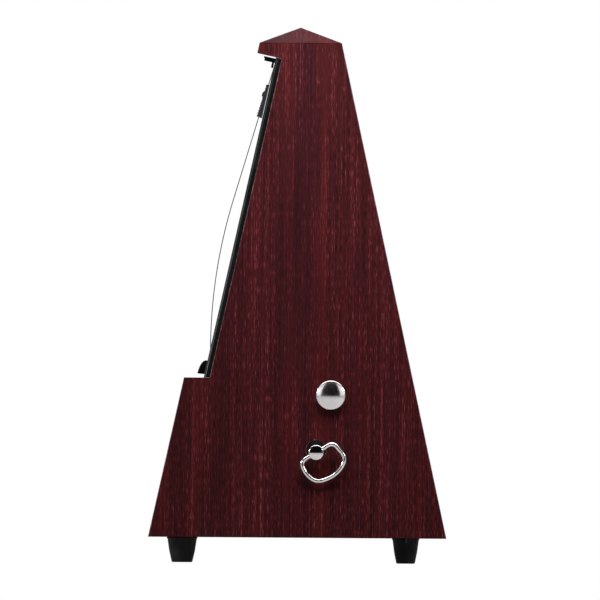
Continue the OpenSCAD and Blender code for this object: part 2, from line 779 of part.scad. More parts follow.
module ratchet_outline() {
    step = 360 / ratchet_teeth;
    polygon([for (tooth = [0:ratchet_teeth - 1]) let (turn = click_at + tooth * step) each [
        ratchet_r * [cos(turn), sin(turn)],
        (ratchet_r - ratchet_depth) * [cos(turn), sin(turn)]]]);
}
module ratchet_wheel() {
    color("silver") across(ratchet_x, ratchet_x + ratchet_t) translate(key_axis) difference() {
        ratchet_outline();
        circle(d = arbor_big_d);
    }
}
module click() {
    root = ratchet_r - ratchet_depth;
    function about(radius, turn) = key_axis + radius * [cos(turn), sin(turn)];
    color("silver") across(ratchet_x, ratchet_x + ratchet_t) difference() {
        union() {
            polygon([about(root + 0.35, click_at + 1.8), about(ratchet_r + 0.35, click_at + 1),
                about(ratchet_r + 0.35, click_at - 4), about(ratchet_r + 0.5, click_at - 15),
                click_pivot + [0, -1.7], click_pivot + [1.9, 0],
                click_pivot + [0.9, 1.7], about(ratchet_r + 2.2, click_at - 2),
                about(ratchet_r + 0.4, click_at + 5)]);
            translate(click_pivot) circle(d = 5);
        }
        translate(click_pivot) circle(d = click_d + 2 * run_gap);
    }
}
module click_stud() {
    color("silver") {
        rod_across(click_pivot, right_x + plate_t, ratchet_x + ratchet_t + 0.3, click_d);
        rod_across(click_pivot, ratchet_x + ratchet_t + 0.3, ratchet_x + ratchet_t + 1.1, 3.6);
    }
}
module click_spring() {
    stud = click_pivot + [1, 12];
    color("steelblue") {
        rod_across(stud, right_x + plate_t, ratchet_x + ratchet_t, 3);
        across(ratchet_x + 0.3, ratchet_x + 1.1) polygon([
            stud + [-1, -0.6], click_mid + [0.5, 1.2], click_mid + [0.5, 0.8],
            stud + [-1, -1.2]]);
    }
}
module geared_arbor(axis, turn, size, pinion_left, pinion_right) {
    across(pinion_left, pinion_right) translate(axis) rotate(turn)
        gear(pinion_leaves, size, true);
    rod_across(axis, left_x + 0.2, pinion_left, arbor_d);
    rod_across(axis, pinion_right, right_x - 0.2, arbor_d);
    rod_across(axis, left_x - plate_t, left_x + 0.2, pivot_d);
    rod_across(axis, right_x - 0.2, right_x + plate_t, pivot_d);
}
module second_arbor() {
    color("silver") geared_arbor(second_axis, second_turn, great_module,
        great_x - 0.8, great_x + great_t + 0.8);
}
module second_wheel() {
    rim_r = second_module * second_teeth / 2;
    color("goldenrod") across(second_x, second_x + second_t) translate(second_axis) difference() {
        rotate(second_turn) gear(second_teeth, second_module, false);
        circle(d = arbor_d);
        crossings(rim_r * 0.3, rim_r * 0.84, 4, 2);
    }
}
module escape_arbor() {
    color("silver") geared_arbor(escape_axis, escape_turn, second_module,
        second_x - 0.8, second_x + second_t + 0.8);
}
module escape_wheel() {
    tip_r = escape_d / 2;
    root_r = tip_r - 2.2;
    step = 360 / escape_teeth;
    color("goldenrod") across(-escape_t / 2, escape_t / 2) translate(escape_axis) difference() {
        polygon([for (tooth = [0:escape_teeth - 1]) let (mid = tooth * step) each [
            root_r * [cos(mid - 0.44 * step), sin(mid - 0.44 * step)],
            tip_r * [cos(mid - 1.6), sin(mid - 1.6)],
            tip_r * [cos(mid + 1.6), sin(mid + 1.6)],
            root_r * [cos(mid + 0.14 * step), sin(mid + 0.14 * step)]]]);
        circle(d = arbor_d);
        crossings(2.6, root_r - 1.6, 4, 1.6);
    }
}

// --- Winding key
module on_ring() {
    translate([ring_x, key_axis[0], key_axis[1]]) rotate([90, 0, 90]) rotate(ring_slope)
        children();
}
module key_stem() {
    color("silver") difference() {
        union() {
            rod_across(key_axis, stem_in, ring_x - 1, stem_d);
            translate([ring_x, key_axis[0], key_axis[1]]) sphere(d = ball_d);
        }
        rod_across(key_axis, stem_in - 1, stem_in + spigot_len, spigot_d);
        on_ring() rotate([0, 90, 0])
            cylinder(d = wire_d + 2 * run_gap, h = ball_d + 2, center = true);
    }
}
module key_ring() {
    count = len(ring_path);
    wire_r = wire_d / 2 - 0.02;
    color("silver") on_ring() {
        polyhedron(
            points = [for (at = ring_path, side = [0:wire_sides - 1])
                let (turn = side * 360 / wire_sides, out = wire_r * cos(turn))
                [at[0] + out * cos(at[2]), at[1] + out * sin(at[2]), wire_r * sin(turn)]],
            faces = [for (i = [0:count - 1], side = [0:wire_sides - 1])
                let (next = (i + 1) % count, up = (side + 1) % wire_sides)
                each [
                    [i * wire_sides + side, i * wire_sides + up, next * wire_sides + up],
                    [i * wire_sides + side, next * wire_sides + up, next * wire_sides + side]]]);
        rotate([0, 90, 0]) cylinder(d = wire_d, h = 2 * pin_half, center = true);
    }
}

// --- Bell selector
module selector_rod() {
    color("silver") {
        rod_across(selector_axis, left_x - plate_t - pull - 4, knob_in + 1, selector_d);
        rod_across(selector_axis, drum_left - collar_t - 0.1, drum_left - 0.1, 6);
        rod_across(selector_axis, drum_pinion_right + 0.1, drum_pinion_right + 0.1 + collar_t, 6);
    }
}
module bell_knob() {
    edge = 1.1;
    color("silver") translate([knob_in, selector_axis[0], selector_axis[1]]) rotate([0, 90, 0])
        rotate_extrude() difference() {
            intersection() {
                translate([0, knob_t - knob_d]) circle(r = knob_d, $fn = 180);
                union() {
                    square([knob_d / 2 - 0.4, knob_t]);
                    translate([0, 0.4]) square([knob_d / 2, knob_t]);
                }
                translate([0, -0.01]) square([knob_d, knob_t + 1]);
            }
            square([selector_d / 2, edge]);
        }
}
module cam_outline(lobes) {
    circle(r = drum_r);
    if (lobes > 0) for (lobe = [0:lobes - 1]) rotate(lobe * 360 / lobes)
        polygon([[0, -1.5], [drum_r + lobe_h, -0.4], [drum_r + lobe_h, 0.4], [0, 1.5]]);
}
module bell_drum() {
    color("goldenrod") difference() {
        union() {
            for (row = [0:len(settings) - 1]) {
                right = drum_right - row * setting_step;
                across(right - setting_step, right) translate(selector_axis)
                    cam_outline(settings[row]);
            }
            rod_across(selector_axis, drum_right, drum_pinion_left, 5);
            across(drum_pinion_left, drum_pinion_right) translate(selector_axis)
                rotate(drum_turn) gear(pinion_leaves, great_module, true);
        }
        rod_across(selector_axis, drum_left - 1, drum_pinion_right + 1,
            selector_d + 2 * run_gap);
    }
}

// --- Bell and hammer
module bell() {
    color("silver") translate([bell_x, bell_y, bell_z]) difference() {
        sphere(r = bell_r, $fn = 96);
        sphere(r = bell_r - bell_t, $fn = 96);
        translate([0, 0, -bell_d]) cube(2 * bell_d, center = true);
        cylinder(d = screw_d, h = bell_d);
    }
}
module bell_post() {
    rest = bell_z + bell_r - bell_t - 0.35;
    color("silver") translate([bell_x, bell_y, 0]) difference() {
        union() {
            translate([0, 0, base_top]) cylinder(d = 6, h = rest - base_top);
            translate([0, 0, floor_z]) cylinder(d = screw_d, h = bell_z + bell_r + 2.4 - floor_z);
        }
    }
}
module bell_nut() {
    color("silver") translate([bell_x, bell_y, bell_z + bell_r - 0.05]) difference() {
        cylinder(d = 6.4, h = 2.2, $fn = 6);
        cylinder(d = screw_d, h = 5);
    }
}
module hammer_arbor() {
    color("silver") {
        rod_across(hammer_axis, left_x + 0.2, right_x - 0.2, arbor_d);
        rod_across(hammer_axis, bell_x - 1.5, left_x + 0.2, pivot_d);
        rod_across(hammer_axis, right_x - 0.2, right_x + plate_t, pivot_d);
    }
}
module hammer() {
    drop = hammer_axis[1] - hammer_head_z;
    color("goldenrod") difference() {
        union() {
            rod_across(hammer_axis, bell_x - 1.4, bell_x + 1.4, 4);
            translate([bell_x, hammer_axis[0], hammer_head_z]) cylinder(d = 1.6, h = drop - 1);
            translate([bell_x, hammer_axis[0], hammer_head_z]) sphere(r = hammer_head_r);
        }
        rod_across(hammer_axis, bell_x - 3, bell_x + 3, pivot_d);
    }
}
module hammer_tail() {
    toward = (selector_axis - hammer_axis) / norm(selector_axis - hammer_axis);
    reach = norm(selector_axis - hammer_axis) - drum_r - lobe_h - pass_gap;
    aside = [-toward[1], toward[0]];
    color("silver") across(tail_x - tail_t / 2, tail_x + tail_t / 2) difference() {
        union() {
            translate(hammer_axis) circle(d = 5);
            polygon([hammer_axis + 1.6 * aside, hammer_axis - 1.6 * aside,
                hammer_axis + reach * toward - 0.5 * aside,
                hammer_axis + reach * toward + 0.5 * aside]);
        }
        translate(hammer_axis) circle(d = arbor_d);
    }
}
module hammer_spring() {
    x = left_x - plate_t - 4;
    stud = hammer_axis + [3.6, -8];
    color("steelblue") {
        rod_across(stud, x - 1, left_x - plate_t, 2.4);
        across(x - 0.8, x) polygon([stud + [-0.2, -0.8], stud + [0.3, -0.8],
            hammer_axis + [1.4, 7], hammer_axis + [1.1, 7], stud + [-0.2, 2]]);
    }
}

housing();
base_plate();
front_feet();
rear_foot();
foot_screws();
base_screws();
front_panel();
scale_plate();
cover_hooks();
cover_latch();
pendulum_rod();
pendulum_hub();
pendulum_arbor();
pallets();
counterweight_arm();
counterweight();
tempo_weight();
weight_spring();
left_plate();
right_plate();
pillars();
pillar_screws();
frame_screws();
front_bridge();
rear_cock();
great_wheel();
barrel();
barrel_cover();
mainspring();
winding_arbor();
ratchet_wheel();
click();
click_stud();
click_spring();
second_arbor();
second_wheel();
escape_arbor();
escape_wheel();
key_stem();
key_ring();
selector_rod();
bell_knob();
bell_drum();
bell();
bell_post();
bell_nut();
hammer_arbor();
hammer();
hammer_tail();
hammer_spring();
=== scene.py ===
"""Wind-up pyramid metronome with its cover off, dressed for display.

Everything is in metres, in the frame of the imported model: the cover opening
faces -Y, the winding key and the bell knob are on the +X side, and z = 0 is
the table.
"""

import logging
import math
from dataclasses import dataclass, field
from enum import Enum
from typing import Callable, Sequence

import bmesh
import bpy
from mathutils import Matrix, Vector

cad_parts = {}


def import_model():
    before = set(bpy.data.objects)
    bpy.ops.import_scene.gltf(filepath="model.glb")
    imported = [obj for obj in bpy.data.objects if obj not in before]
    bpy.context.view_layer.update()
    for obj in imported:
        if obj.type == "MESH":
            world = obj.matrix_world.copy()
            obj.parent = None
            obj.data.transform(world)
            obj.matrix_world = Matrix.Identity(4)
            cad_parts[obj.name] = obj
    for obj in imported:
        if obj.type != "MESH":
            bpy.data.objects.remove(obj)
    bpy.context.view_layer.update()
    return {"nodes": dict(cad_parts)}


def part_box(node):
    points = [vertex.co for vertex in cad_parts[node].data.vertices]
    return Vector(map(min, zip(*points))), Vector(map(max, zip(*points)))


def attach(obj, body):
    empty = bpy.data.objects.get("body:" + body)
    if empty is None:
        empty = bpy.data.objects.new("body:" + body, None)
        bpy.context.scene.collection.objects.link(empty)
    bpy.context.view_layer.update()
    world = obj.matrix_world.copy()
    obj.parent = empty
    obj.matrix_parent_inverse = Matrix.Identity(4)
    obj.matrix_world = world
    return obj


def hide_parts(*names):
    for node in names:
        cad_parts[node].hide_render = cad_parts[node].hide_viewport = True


log = logging.getLogger("metronome")

MM = 0.001
Colour = tuple[float, float, float]
Outline = Sequence[tuple[float, float]]
Size = tuple[float, float]


# --------------------------------------------------------------------------
# Sizes that several sub-assemblies share


@dataclass(frozen=True)
class CaseSizes:
    """Driving sizes of the case and of the panel in its opening."""

    foot: float = 10.2 * MM
    height: float = 206.8 * MM
    roof: float = 6.2 * MM
    base_depth: float = 121.0 * MM
    base_width: float = 117.5 * MM
    eave_depth: float = 33.4 * MM
    eave_width: float = 33.0 * MM
    wall: float = 3.0 * MM
    ledge: float = 64.7 * MM
    recess: float = 10.2 * MM
    opening: float = 132.5 * MM
    rim_proud: float = 2.4 * MM
    rim_width: float = 4.4 * MM
    rim_inset: float = 0.8 * MM
    field_sunk: float = 1.6 * MM
    panel: float = 2.4 * MM

    @property
    def lean(self) -> float:
        """Angle between the front panel and the vertical."""
        rise = self.height - self.roof
        return math.atan((self.base_depth - self.eave_depth) / 2 / rise)

    @property
    def side_slope(self) -> float:
        """How much narrower each side gets for each metre of height."""
        rise = self.height - self.roof
        return (self.base_width - self.eave_width) / 2 / rise

    @property
    def ledge_z(self) -> float:
        """Height of the ledge above the table."""
        return self.foot + self.ledge

    @property
    def eave_z(self) -> float:
        """Height of the eaves above the table."""
        return self.foot + self.height - self.roof

    def front_y(self, z: float) -> float:
        """Y of the case's front face at a height."""
        return -self.base_depth / 2 + (z - self.foot) * math.tan(self.lean)

    def side_x(self, z: float) -> float:
        """X of the case's right-hand face at a height."""
        return self.base_width / 2 - (z - self.foot) * self.side_slope

    @property
    def panel_y(self) -> float:
        """Y of the wall edges at the foot of the panel."""
        return self.front_y(self.ledge_z) + self.recess / math.cos(self.lean)

    def on_panel(self, x: float, depth: float, height: float) -> Vector:
        """A place given on the leaning panel.

        Args:
            x: Place across the case.
            depth: Depth behind the edges of the walls, square to the panel.
            height: Height along the panel, from the ledge.

        Returns:
            The same place in the frame of the model.
        """
        cos, sin = math.cos(self.lean), math.sin(self.lean)
        return Vector((x, self.panel_y + depth * cos + height * sin,
                       self.ledge_z - depth * sin + height * cos))

    @property
    def wall_inset(self) -> float:
        """How far what stands between the walls stays inside the case's faces."""
        return self.wall / math.cos(math.atan(self.side_slope)) + 0.15 * MM

    def panel_half(self, height: float) -> float:
        """Half the width of the case at a height along the panel."""
        return self.side_x(self.ledge_z + height * math.cos(self.lean))

    @property
    def panel_matrix(self) -> Matrix:
        """Takes (x, depth, height) on the panel to the frame of the model."""
        place = Matrix.Translation((0, self.panel_y, self.ledge_z))
        return place @ Matrix.Rotation(-self.lean, 4, "X")


CASE = CaseSizes()


def tapered(low_half: float, high_half: float, low: float, high: float) -> Outline:
    """An upright outline whose width changes with its height.

    Args:
        low_half: Half its width at its lower end.
        high_half: Half its width at its upper end.
        low: Height of its lower end.
        high: Height of its upper end.

    Returns:
        Its four corners as (x, z).
    """
    return (-low_half, low), (low_half, low), (high_half, high), (-high_half, high)


# --------------------------------------------------------------------------
# Modelling by operators


class Bench:
    """Starts pieces from primitives and shapes them with operators."""

    @staticmethod
    def clear() -> None:
        """Leaves nothing selected."""
        for obj in bpy.context.selected_objects:
            obj.select_set(False)

    @staticmethod
    def pick(obj: bpy.types.Object) -> bpy.types.Object:
        """Makes one object the only selected and the active one."""
        Bench.clear()
        obj.select_set(True)
        bpy.context.view_layer.objects.active = obj
        return obj

    @staticmethod
    def named(name: str) -> bpy.types.Object:
        """Names the primitive just added."""
        obj = bpy.context.object
        obj.name = name
        obj.data.name = name
        return obj

    @staticmethod
    def settle(obj: bpy.types.Object) -> bpy.types.Object:
        """Moves an object's place and turn into its mesh."""
        Bench.pick(obj)
        bpy.ops.object.transform_apply(location=True, rotation=True, scale=True)
        return obj

    @staticmethod
    def block(name: str, low: Sequence[float], high: Sequence[float],
              turn: float = 0.0) -> bpy.types.Object:
        """A block between two corners.

        Args:
            name: Name of the new object.
            low: Its lowest corner.
            high: Its highest corner.
            turn: Turn round its own vertical axis.
        """
        Bench.clear()
        middle = (Vector(low) + Vector(high)) / 2
        bpy.ops.mesh.primitive_cube_add(size=1, location=middle, rotation=(0, 0, turn))
        obj = Bench.named(name)
        obj.scale = Vector(high) - Vector(low)
        return Bench.settle(obj)

    @staticmethod
    def rod(name: str, start: Sequence[float], end: Sequence[float], radius: float,
            sides: int = 48) -> bpy.types.Object:
        """A round rod between two points.

        Args:
            name: Name of the new object.
            start: Middle of one end.
            end: Middle of the other end.
            radius: Its radius.
            sides: Number of sides.
        """
        Bench.clear()
        start, end = Vector(start), Vector(end)
        along = end - start
        turn = along.to_track_quat("Z", "Y").to_euler()
        bpy.ops.mesh.primitive_cylinder_add(
            vertices=sides, radius=radius, depth=along.length, location=(start + end) / 2,
            rotation=turn)
        return Bench.settle(Bench.named(name))

    @staticmethod
    def plate(name: str, outline: Outline, low: float, high: float) -> bpy.types.Object:
        """A flat outline in X and Z, given thickness along Y.

        Args:
            name: Name of the new object.
            outline: Its corners as (x, z), in order round the edge.
            low: Y of its front face.
            high: Y of its rear face.
        """
        Bench.clear()
        bpy.ops.mesh.primitive_circle_add(vertices=len(outline), radius=1, fill_type="NGON")
        obj = Bench.named(name)
        for vertex, (x, z) in zip(obj.data.vertices, outline):
            vertex.co = (x, low, z)
        bpy.ops.object.mode_set(mode="EDIT")
        bpy.ops.mesh.select_all(action="SELECT")
        bpy.ops.mesh.extrude_region_move(TRANSFORM_OT_translate={"value": (0, high - low, 0)})
        bpy.ops.mesh.select_all(action="SELECT")
        bpy.ops.mesh.normals_make_consistent(inside=False)
        bpy.ops.object.mode_set(mode="OBJECT")
        return obj

    @staticmethod
    def side_plate(name: str, outline: Outline, low: float, high: float) -> bpy.types.Object:
        """A flat outline in Y and Z, given thickness along X.

        Args:
            name: Name of the new object.
            outline: Its corners as (y, z), in order round the edge.
            low: X of its left face.
            high: X of its right face.
        """
        obj = Bench.plate(name, outline, low, high)
        obj.data.transform(Matrix(((0, 1, 0, 0), (1, 0, 0, 0), (0, 0, 1, 0), (0, 0, 0, 1))))
        Bench.face_out(obj)
        return obj

    @staticmethod
    def face_out(obj: bpy.types.Object) -> None:
        """Merges doubles and turns every face outwards."""
        Bench.pick(obj)
        bpy.ops.object.mode_set(mode="EDIT")
        bpy.ops.mesh.select_all(action="SELECT")
        bpy.ops.mesh.remove_doubles(threshold=0.002 * MM)
        bpy.ops.mesh.normals_make_consistent(inside=False)
        bpy.ops.object.mode_set(mode="OBJECT")

    @staticmethod
    def select(obj: bpy.types.Object, kind: str, test: Callable[[Vector], bool]) -> None:
        """Selects vertices, edges or faces in edit mode by the place of their middle.

        Args:
            obj: The object, in edit mode.
            kind: "VERT", "EDGE" or "FACE".
            test: Says of a middle point whether to select what it belongs to.
        """
        bpy.ops.mesh.select_mode(type=kind)
        bpy.ops.mesh.select_all(action="DESELECT")
        mesh = bmesh.from_edit_mesh(obj.data)
        for item in {"VERT": mesh.verts, "EDGE": mesh.edges, "FACE": mesh.faces}[kind]:
            if kind == "VERT":
                middle = item.co
            elif kind == "EDGE":
                middle = (item.verts[0].co + item.verts[1].co) / 2
            else:
                middle = item.calc_center_median()
            item.select_set(test(middle))
        mesh.select_flush_mode()
        bmesh.update_edit_mesh(obj.data)

    @staticmethod
    def spin(name: str, profile: Outline, steps: int = 96,
             closed: bool = False) -> bpy.types.Object:
        """A turned piece.

        Args:
            name: Name of the new object.
            profile: Its profile as (radius, height), from the axis and back to it.
            steps: Number of sides.
            closed: Whether the profile runs clear of the axis, round a hole.

        Returns:
            The piece, turned round the vertical through the origin.
        """
        Bench.clear()
        bpy.ops.mesh.primitive_circle_add(vertices=len(profile), radius=1)
        obj = Bench.named(name)
        for vertex, (radius, height) in zip(obj.data.vertices, profile):
            vertex.co = (radius, 0, height)
        bpy.ops.object.mode_set(mode="EDIT")
        if not closed:
            on_axis = 0.0005 * MM
            Bench.select(obj, "EDGE", lambda middle: middle.x < on_axis)
            bpy.ops.mesh.delete(type="EDGE_FACE")
        bpy.ops.mesh.select_all(action="SELECT")
        bpy.ops.mesh.spin(steps=steps, angle=2 * math.pi, center=(0, 0, 0), axis=(0, 0, 1))
        bpy.ops.object.mode_set(mode="OBJECT")
        Bench.face_out(obj)
        return obj

    @staticmethod
    def modify(obj: bpy.types.Object, kind: str, **settings: object) -> bpy.types.Object:
        """Adds a modifier, sets it and applies it."""
        Bench.pick(obj)
        modifier = obj.modifiers.new(kind.title(), kind)
        for name, value in settings.items():
            setattr(modifier, name, value)
        bpy.ops.object.modifier_apply(modifier=modifier.name)
        return obj

    @staticmethod
    def boolean(obj: bpy.types.Object, other: bpy.types.Object,
                operation: str = "DIFFERENCE") -> bpy.types.Object:
        """Cuts, joins or crosses one solid with another, which is used up.

        Args:
            obj: The solid that stays.
            other: The solid that is used up.
            operation: "DIFFERENCE", "UNION" or "INTERSECT".
        """
        Bench.modify(obj, "BOOLEAN", object=other, operation=operation, solver="EXACT")
        bpy.data.objects.remove(other)
        return obj

    @staticmethod
    def soften(obj: bpy.types.Object, width: float, segments: int = 3,
               angle: float = 30.0) -> bpy.types.Object:
        """Rounds the sharp edges, and keeps what lies between them flat to the light.

        Args:
            obj: The piece.
            width: Width of the rounding.
            segments: Steps across it.
            angle: Edges sharper than this are rounded, in degrees.
        """
        Bench.modify(obj, "BEVEL", width=width, segments=segments, limit_method="ANGLE",
                     angle_limit=math.radians(angle), use_clamp_overlap=True)
        Bench.smooth(obj)
        Bench.modify(obj, "WEIGHTED_NORMAL", mode="FACE_AREA", weight=50, keep_sharp=True)
        return obj

    @staticmethod
    def smooth(obj: bpy.types.Object, angle: float = 35.0) -> bpy.types.Object:
        """Shades smooth up to an angle between faces."""
        Bench.pick(obj)
        bpy.ops.object.shade_smooth_by_angle(angle=math.radians(angle))
        return obj

    @staticmethod
    def copy(obj: bpy.types.Object, name: str, shift: Sequence[float]) -> bpy.types.Object:
        """A copy with its own mesh, moved.

        Args:
            obj: The piece to copy.
            name: Name of the copy.
            shift: How far it is moved.
        """
        twin = obj.copy()
        twin.data = obj.data.copy()
        twin.name = name
        twin.data.name = name
        twin.data.transform(Matrix.Translation(shift))
        bpy.context.collection.objects.link(twin)
        return twin

    @staticmethod
    def join(name: str, parts: Sequence[bpy.types.Object]) -> bpy.types.Object:
        """Joins several objects into one."""
        Bench.clear()
        for part in parts:
            part.select_set(True)
        bpy.context.view_layer.objects.active = parts[0]
        bpy.ops.object.join()
        return Bench.named(name)


# --------------------------------------------------------------------------
# Finishes


def linear(colour: Colour) -> tuple[float, float, float, float]:
    """A colour as seen on a screen, 0 to 255, as the shader's linear values."""
    parts = [value / 255 for value in colour]
    parts = [v / 12.92 if v <= 0.04045 else ((v + 0.055) / 1.055) ** 2.4 for v in parts]
    return (*parts, 1.0)


class Nodes:
    """A material's node tree, filled from a few short calls."""

    def __init__(self, name: str) -> None:
        """Starts a material with one Principled shader."""
        self.material = bpy.data.materials.new(name)
        self.material.use_nodes = True
        self.tree = self.material.node_tree
        self.shader = self.tree.nodes["Principled BSDF"]

    def add(self, kind: str, **inputs: object) -> bpy.types.Node:
        """A node of a kind, with its inputs set or linked by their names.

        Args:
            kind: The node's type without its common beginning.
            **inputs: Input names, with underscores for spaces, and their
                values or the sockets that feed them.
        """
        node = self.tree.nodes.new("ShaderNode" + kind)
        for name, value in inputs.items():
            self.feed(node.inputs[name.replace("_", " ")], value)
        return node

    def feed(self, socket: bpy.types.NodeSocket, value: object) -> None:
        """Links a socket to an output, or sets its value."""
        if isinstance(value, bpy.types.NodeSocket):
            self.tree.links.new(value, socket)
        else:
            socket.default_value = value

    def place(self, source: str, scale: Sequence[float],
              turn: Sequence[float] = (0, 0, 0)) -> bpy.types.NodeSocket:
        """Scaled coordinates.

        Args:
            source: "Object", or the name of a UV map.
            scale: Scale along each axis, per metre.
            turn: Turn of the pattern, in radians.
        """
        if source == "Object":
            start = self.add("TexCoord").outputs["Object"]
        else:
            uv = self.tree.nodes.new("ShaderNodeUVMap")
            uv.uv_map = source
            start = uv.outputs["UV"]
        return self.add("Mapping", Vector=start, Scale=scale, Rotation=turn).outputs["Vector"]

    def noise(self, vector: bpy.types.NodeSocket, detail: float = 3.0,
              rough: float = 0.55, twist: float = 0.0) -> bpy.types.NodeSocket:
        """Noise at scale 1 on coordinates that are scaled already.

        Args:
            vector: The coordinates.
            detail: How many finer layers it has.
            rough: How strong the finer layers are.
            twist: How far it is distorted.
        """
        node = self.add("TexNoise", Vector=vector, Scale=1.0, Detail=detail,
                        Roughness=rough, Distortion=twist)
        return node.outputs["Fac"]

    def ramp(self, value: bpy.types.NodeSocket,
             stops: Sequence[tuple[float, Colour]]) -> bpy.types.NodeSocket:
        """A colour ramp with stops given as (place, colour as seen on a screen)."""
        node = self.add("ValToRGB", Fac=value)
        ramp = node.color_ramp
        while len(ramp.elements) < len(stops):
            ramp.elements.new(0.5)
        for element, (place, colour) in zip(ramp.elements, stops):
            element.position = place
            element.color = linear(colour)
        return node.outputs["Color"]

    def span(self, value: bpy.types.NodeSocket, low: float, high: float,
             out_low: float, out_high: float) -> bpy.types.NodeSocket:
        """Takes values between two limits to values between two others.

        Args:
            value: The values.
            low: Lower limit of what goes in.
            high: Upper limit of what goes in.
            out_low: What the lower limit becomes.
            out_high: What the upper limit becomes.
        """
        node = self.tree.nodes.new("ShaderNodeMapRange")
        for socket, number in zip(node.inputs, (value, low, high, out_low, out_high)):
            self.feed(socket, number)
        return node.outputs["Result"]

    def total(self, *parts: object) -> bpy.types.NodeSocket:
        """The sum of several values."""
        value = parts[0]
        for part in parts[1:]:
            node = self.tree.nodes.new("ShaderNodeMath")
            self.feed(node.inputs[0], value)
            self.feed(node.inputs[1], part)
            value = node.outputs[0]
        return value

    def mix(self, share: object, first: object, second: object,
            mode: str = "MIX") -> bpy.types.NodeSocket:
        """Mixes two colours by a share.

        Args:
            share: Share of the second colour.
            first: The first colour.
            second: The second colour.
            mode: How they are blended.
        """
        node = self.tree.nodes.new("ShaderNodeMix")
        node.data_type = "RGBA"
        node.blend_type = mode
        for name, value in (("Factor_Float", share), ("A_Color", first), ("B_Color", second)):
            socket = next(item for item in node.inputs if item.identifier == name)
            self.feed(socket, value)
        return next(item for item in node.outputs if item.identifier == "Result_Color")

    def bump(self, height: bpy.types.NodeSocket, strength: float, distance: float) -> None:
        """Gives the surface relief from a height pattern.

        Args:
            height: The pattern.
            strength: How much it tilts the surface, from 0 to 1.
            distance: Height of the relief, in metres.
        """
        node = self.add("Bump", Strength=strength, Distance=distance, Height=height)
        self.feed(self.shader.inputs["Normal"], node.outputs["Normal"])

    def set(self, **values: object) -> "Nodes":
        """Sets or links the shader's own sockets by name."""
        for name, value in values.items():
            self.feed(self.shader.inputs[name.replace("_", " ")], value)
        return self


@dataclass(frozen=True)
class WoodFilm:
    """Mahogany film over board, its grain upright on every face.

    The grain map holds metres across the grain and along it, so each layer's
    width and length are in metres too: the finest layer is the light flecks,
    the widest the bands.
    """

    name: str = "mahogany_film"
    grain_map: str = "grain"
    shades: tuple[Colour, ...] = (
        (24, 3, 6), (42, 8, 12), (62, 15, 19), (84, 25, 29), (134, 64, 68))
    russet: Colour = (92, 22, 17)
    plum: Colour = (46, 10, 24)
    fleck: Size = (0.18 * MM, 3.4 * MM)
    pore: Size = (0.3 * MM, 36.0 * MM)
    streak: Size = (1.3 * MM, 90.0 * MM)
    band: Size = (4.8 * MM, 160.0 * MM)
    drift: Size = (13.0 * MM, 400.0 * MM)
    gloss: float = 0.14

    def layer(self, nodes: Nodes, size: Size, low: float, high: float,
              waver: float = 0.0) -> bpy.types.NodeSocket:
        """One layer of grain.

        Args:
            nodes: The material that it goes into.
            size: Width and length of its marks, in metres.
            low: Its value in the dark marks.
            high: Its value in the light ones.
            waver: How far its marks wander sideways.
        """
        place = nodes.place(self.grain_map, (1 / size[0], 1 / size[1], 1.0))
        return nodes.span(nodes.noise(place, 2.0, 0.5, waver), 0.25, 0.75, low, high)

    def make(self) -> bpy.types.Material:
        """The material."""
        nodes = Nodes(self.name)
        pores = self.layer(nodes, self.pore, -0.3, 0.3)
        flecks = self.layer(nodes, self.fleck, -0.52, 0.52, 0.1)
        level = nodes.total(
            0.42, flecks, pores, self.layer(nodes, self.streak, -0.2, 0.2, 0.2),
            self.layer(nodes, self.band, -0.1, 0.1), self.layer(nodes, self.drift, -0.08, 0.08))
        stops = [(index / (len(self.shades) - 1), shade)
                 for index, shade in enumerate(self.shades)]
        ground = nodes.ramp(level, stops)
        warm = self.layer(nodes, (1.4 * self.band[0], self.band[1]), -0.9, 1.1)
        tinted = nodes.mix(nodes.span(warm, 0.1, 0.9, 0.0, 0.3), ground, linear(self.russet))
        cold = self.layer(nodes, (1.1 * self.drift[0], self.drift[1]), 1.1, -0.9)
        grained = nodes.mix(nodes.span(cold, 0.1, 0.9, 0.0, 0.3), tinted, linear(self.plum))
        nodes.set(Base_Color=grained, Roughness=nodes.span(pores, -0.2, 0.2, 0.42, 0.32),
                  Specular_IOR_Level=self.gloss)
        nodes.bump(flecks, 0.25, 0.05 * MM)
        return nodes.material


class Grade(Enum):
    """How a plastic, painted or rubber surface is finished: its roughness, relief and shine."""

    SATIN = (0.22, 0.06, 0.35)
    MATT = (0.5, 0.2, 0.25)
    RUBBER = (0.6, 0.3, 0.2)


@dataclass(frozen=True)
class Moulded:
    """Moulded plastic or rubber with a fine skin."""

    name: str
    colour: Colour
    grade: Grade
    skin: float = 0.35 * MM

    def make(self) -> bpy.types.Material:
        """The material."""
        rough, relief, shine = self.grade.value
        nodes = Nodes(self.name)
        fine = nodes.noise(nodes.place("Object", (1 / self.skin,) * 3), 2.0)
        broad = nodes.noise(nodes.place("Object", (1 / (40 * self.skin),) * 3), 3.0)
        lighter = tuple(min(255.0, value * 1.25 + 3) for value in self.colour)
        nodes.set(Base_Color=nodes.mix(nodes.span(broad, 0.35, 0.7, 0.0, 0.6),
                                       linear(self.colour), linear(lighter)),
                  Roughness=nodes.span(broad, 0.3, 0.7, rough, rough + 0.08),
                  Specular_IOR_Level=shine)
        nodes.bump(fine, relief, 0.03 * MM)
        return nodes.material


class Cut(Enum):
    """Which way the fine lines on a metal run, as the spacing along X, Y and Z."""

    POLISHED = (1.6, 1.6, 1.6)
    TURNED = (9.0, 0.12, 0.12)
    BRUSHED = (0.15, 6.0, 6.0)
    DRAWN = (0.15, 0.15, 8.0)


